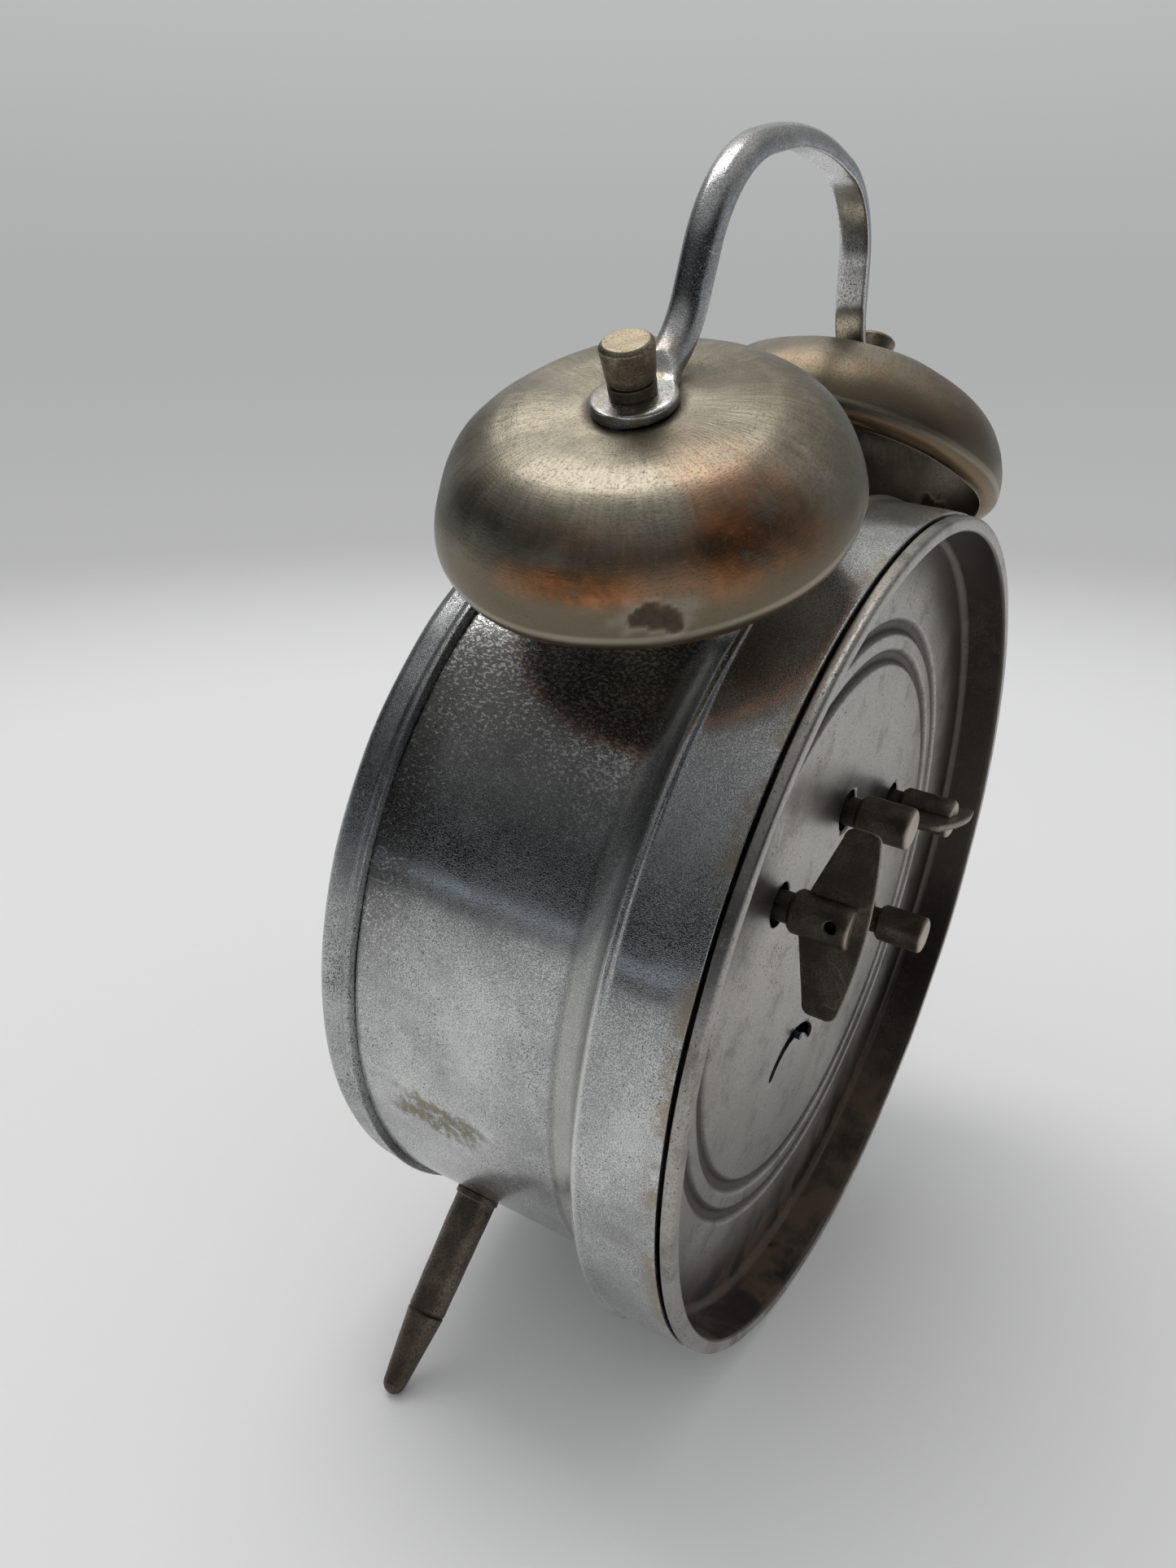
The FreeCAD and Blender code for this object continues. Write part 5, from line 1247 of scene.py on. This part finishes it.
def makeSpring(node, jointName, values):
    local = nodePoints(node)
    place = behind(jointName)
    across = local[:, [0, 2]] - place[0][[0, 2]]
    reach = np.hypot(*across.T)
    low, high = local[:, 1].min(), local[:, 1].max()
    inner, outer = reach.min(), reach.max()
    share = np.linspace(0, 1, int(values["turns"] * 72))
    thick = min(values["thick"], (outer - inner) / values["turns"] * 0.7)
    radius = inner + thick / 2 + (outer - inner - thick) * share
    angle = 2 * math.pi * values["turns"] * share
    section = np.array([(-0.5, 0.06), (-0.5, 0.94), (-0.42, 1), (0.42, 1),
                        (0.5, 0.94), (0.5, 0.06), (0.42, 0), (-0.42, 0)])
    wide = radius[:, None] + section[:, 0] * thick
    grid = np.stack([wide * np.sin(angle)[:, None], low + (high - low) * section[:, 1] + 0 * wide,
                     wide * np.cos(angle)[:, None]], -1)
    ends = [np.broadcast_to(grid[spot].mean(0), (1, len(section), 3)) for spot in (0, -1)]
    coil = addGrid(node + "_coil", np.concatenate([ends[0], grid, ends[1]]), place, closedRows=False)
    settle(coil, "clock", "blue_steel", springSteel, node)


plain = {
    "brass": {"dark": (0.50, 0.36, 0.16, 1), "light": (0.78, 0.60, 0.30, 1), "pit": (0.12, 0.08, 0.04, 1),
              "scratch": (0.9, 0.75, 0.45, 1), "roughness": (0.22, 0.36)},
    "steel": {"dark": (0.36, 0.36, 0.37, 1), "light": (0.58, 0.58, 0.59, 1), "pit": (0.06, 0.05, 0.045, 1),
              "scratch": (0.75, 0.75, 0.75, 1), "roughness": (0.20, 0.34)},
    "blueSteel": {"dark": (0.05, 0.06, 0.12, 1), "light": (0.13, 0.15, 0.26, 1), "pit": (0.04, 0.03, 0.03, 1),
                  "scratch": (0.4, 0.4, 0.45, 1), "roughness": (0.22, 0.34)},
}


def plainMetal(name):
    values = dict(case["metal"], cloudScale=0.2, fineness=6.0, pits=0.35, pitScale=3.0, scuffs=0.4,
                  streaks=0.25)
    return wornMetal(name, drumPlace, dict(values, **plain[name]))


springSteel = plainMetal("blueSteel")
makeSpring("time_mainspring", "time_key_wind", spring["main"])
makeSpring("alarm_mainspring", "alarm_key_wind", spring["main"])
makeSpring("hairspring", "balance_swing", spring["hair"])

# every node that keeps its own shape gets the finish of its slot

finishes = {
    "brass_wheels": plainMetal("brass"), "arbor_steel": plainMetal("steel"), "blue_steel": springSteel,
    "dial_paint": dialMaterial(),
    "hand_black": paint("handBlack", (0.018, 0.018, 0.02, 1), 0.32, (0.14, 0.12, 0.10, 1)),
    "hand_red": paint("handRed", (0.42, 0.03, 0.025, 1), 0.34, (0.12, 0.02, 0.02, 1)),
}
slots = {row["node"]: row["material_slot"] for row in frame["record"]["subparts"]}
finishes["regulator"] = springSteel
for node, piece in nodes.items():
    finish = finishes.get(node, finishes.get(slots[node]))
    if finish:
        piece.data.materials.clear()
        piece.data.materials.append(finish)
print("finished", len(nodes), "nodes")

# a pale floor, soft light and the camera

studio = {
    "floorRadius": 3.0, "floor": (0.76, 0.765, 0.76, 1), "fadeStart": 0.30, "fadeEnd": 0.78,
    "fill": (0.74, 0.745, 0.75, 1), "wallLow": (0.47, 0.475, 0.472, 1),
    "wallMiddle": (0.42, 0.427, 0.425, 1), "wallHigh": (0.51, 0.518, 0.518, 1),
    "view": {"spot": (145.244, 35.927, 78.502), "azimuth": 118.921, "elevation": 22.747,
             "roll": -5.658, "lens": 28.81},
    # each light: where it is, its width and length in metres, its power and colour
    "lights": {
        "overhead_softbox": ((-0.08, -0.25, 1.05), (0.45, 0.8), 3.3, (1.0, 0.99, 0.97)),
        "window_softbox": ((-1.0, -0.6, 0.75), (1.2, 1.0), 0.8, (0.98, 0.99, 1.0))},
    "lightTarget": (0, 0, 0.07),
}


def makeFloor():
    count = 96
    angle = np.linspace(0, 2 * math.pi, count, endpoint=False)
    rings = [0.0001, 0.1, 0.2, 0.3, 0.4, 0.6, 0.8, 1.2, studio["floorRadius"]]
    circle = np.column_stack([np.cos(angle), np.sin(angle), 0 * angle])
    points = np.concatenate([radius * circle for radius in rings])
    index = np.arange(len(rings) * count).reshape(len(rings), count)
    near, far = index[:-1], index[1:]
    faces = np.stack([near, far, np.roll(far, -1, 1), np.roll(near, -1, 1)], -1).reshape(-1, 4)
    mesh = bpy.data.meshes.new("floor")
    mesh.from_pydata(points.tolist(), [], faces.tolist() + [list(range(count))])
    mesh.shade_smooth()
    floor = newPiece("floor", mesh)
    material, make, shader, output = newMaterial("paleFloor")
    vector = make("TexCoord").outputs["Object"]
    tooth = noise(make, vector, 900.0, 2.0)
    feed(shader, Base_Color=studio["floor"], Roughness=0.6, Specular_IOR_Level=0.3,
         Normal=make("Bump", {"Height": tooth, "Strength": 0.15, "Distance": 0.0002}).outputs[0])
    reach = make("VectorMath", {0: vector}, operation="LENGTH").outputs["Value"]
    fade = times(make, between(make, reach, studio["fadeStart"], studio["fadeEnd"]),
                 make("LightPath").outputs["Is Camera Ray"])
    both = make("MixShader", {0: fade, 1: shader.outputs[0], 2: make("BsdfTransparent").outputs[0]})
    material.node_tree.links.new(both.outputs[0], output.inputs["Surface"])
    mesh.materials.append(material)


def makeWorld():
    # what the eye sees is a pale wall; what metal reflects is a room with a bright top, a dark band
    # round the height of the eye and a thin cool line where wall meets table
    world = bpy.data.worlds.new("studio")
    bpy.context.scene.world = world
    world.use_nodes = True
    tree = world.node_tree
    tree.nodes.clear()
    make = maker(tree)
    direction = make("TexCoord").outputs["Generated"]
    parts = split(make, direction)
    up = parts["Z"]
    wall = mixed(make, between(make, up, -0.20, 0.02), studio["wallLow"], studio["wallMiddle"])
    wall = mixed(make, between(make, up, 0.0, 0.30), wall, studio["wallHigh"])
    leftward = between(make, parts["X"], 0.05, -0.45)
    low = mixed(make, leftward, (0.016, 0.017, 0.019, 1), (0.26, 0.265, 0.27, 1))
    high = mixed(make, leftward, (0.34, 0.345, 0.35, 1), (0.52, 0.51, 0.48, 1))
    room = mixed(make, between(make, up, 0.38, 0.86), low, high)
    cool = shareOf(make, up, 0.085, 0.025, 0.02)
    room = mixed(make, times(make, cool, 0.9), room, (0.38, 0.44, 0.51, 1))
    path = make("LightPath").outputs
    colour = mixed(make, path["Is Diffuse Ray"], room, studio["fill"])
    colour = mixed(make, path["Is Camera Ray"], colour, wall)
    light = make("Background", {"Color": colour, "Strength": 1.0})
    make("OutputWorld", {"Surface": light.outputs[0]})


def addLight(name, spot, size, power, colour):
    lamp = bpy.data.lights.new(name, "AREA")
    lamp.shape = "RECTANGLE"
    lamp.size, lamp.size_y = size
    lamp.energy = power
    lamp.color = colour
    holder = newPiece(name, lamp)
    back = np.array(spot) - studio["lightTarget"]
    back /= np.linalg.norm(back)
    side = np.cross([0, 1, 0.01], back)
    side /= np.linalg.norm(side)
    turn = np.eye(4)
    turn[:3, :3] = np.column_stack([side, np.cross(back, side), back])
    turn[:3, 3] = spot
    holder.matrix_world = Matrix(turn.tolist())


def makeCamera():
    view = studio["view"]
    turn, rise, roll = (math.radians(view[name]) for name in ("azimuth", "elevation", "roll"))
    back = np.array([math.sin(turn) * math.cos(rise), -math.cos(turn) * math.cos(rise), math.sin(rise)])
    right = np.cross(-back, [0, 0, 1])
    right /= np.linalg.norm(right)
    down = np.cross(-back, right)
    right, down = (math.cos(roll) * right + math.sin(roll) * down,
                   math.cos(roll) * down - math.sin(roll) * right)
    pose = np.eye(4)
    pose[:3, :3] = (np.array([right, -down, back]) @ drumBasis).T
    pose[:3, 3] = toRow(view["spot"])
    lens = bpy.data.cameras.new("camera")
    lens.lens, lens.sensor_width = view["lens"], 36.0
    lens.clip_start, lens.clip_end = 0.005, 20.0
    camera = newPiece("camera", lens)
    camera.matrix_world = Matrix(pose.tolist())
    bpy.context.scene.camera = camera


makeFloor()
makeWorld()
for name, light in studio["lights"].items():
    addLight(name, *light)
makeCamera()
bpy.context.scene.view_settings.view_transform = "Standard"
print("studio ready")
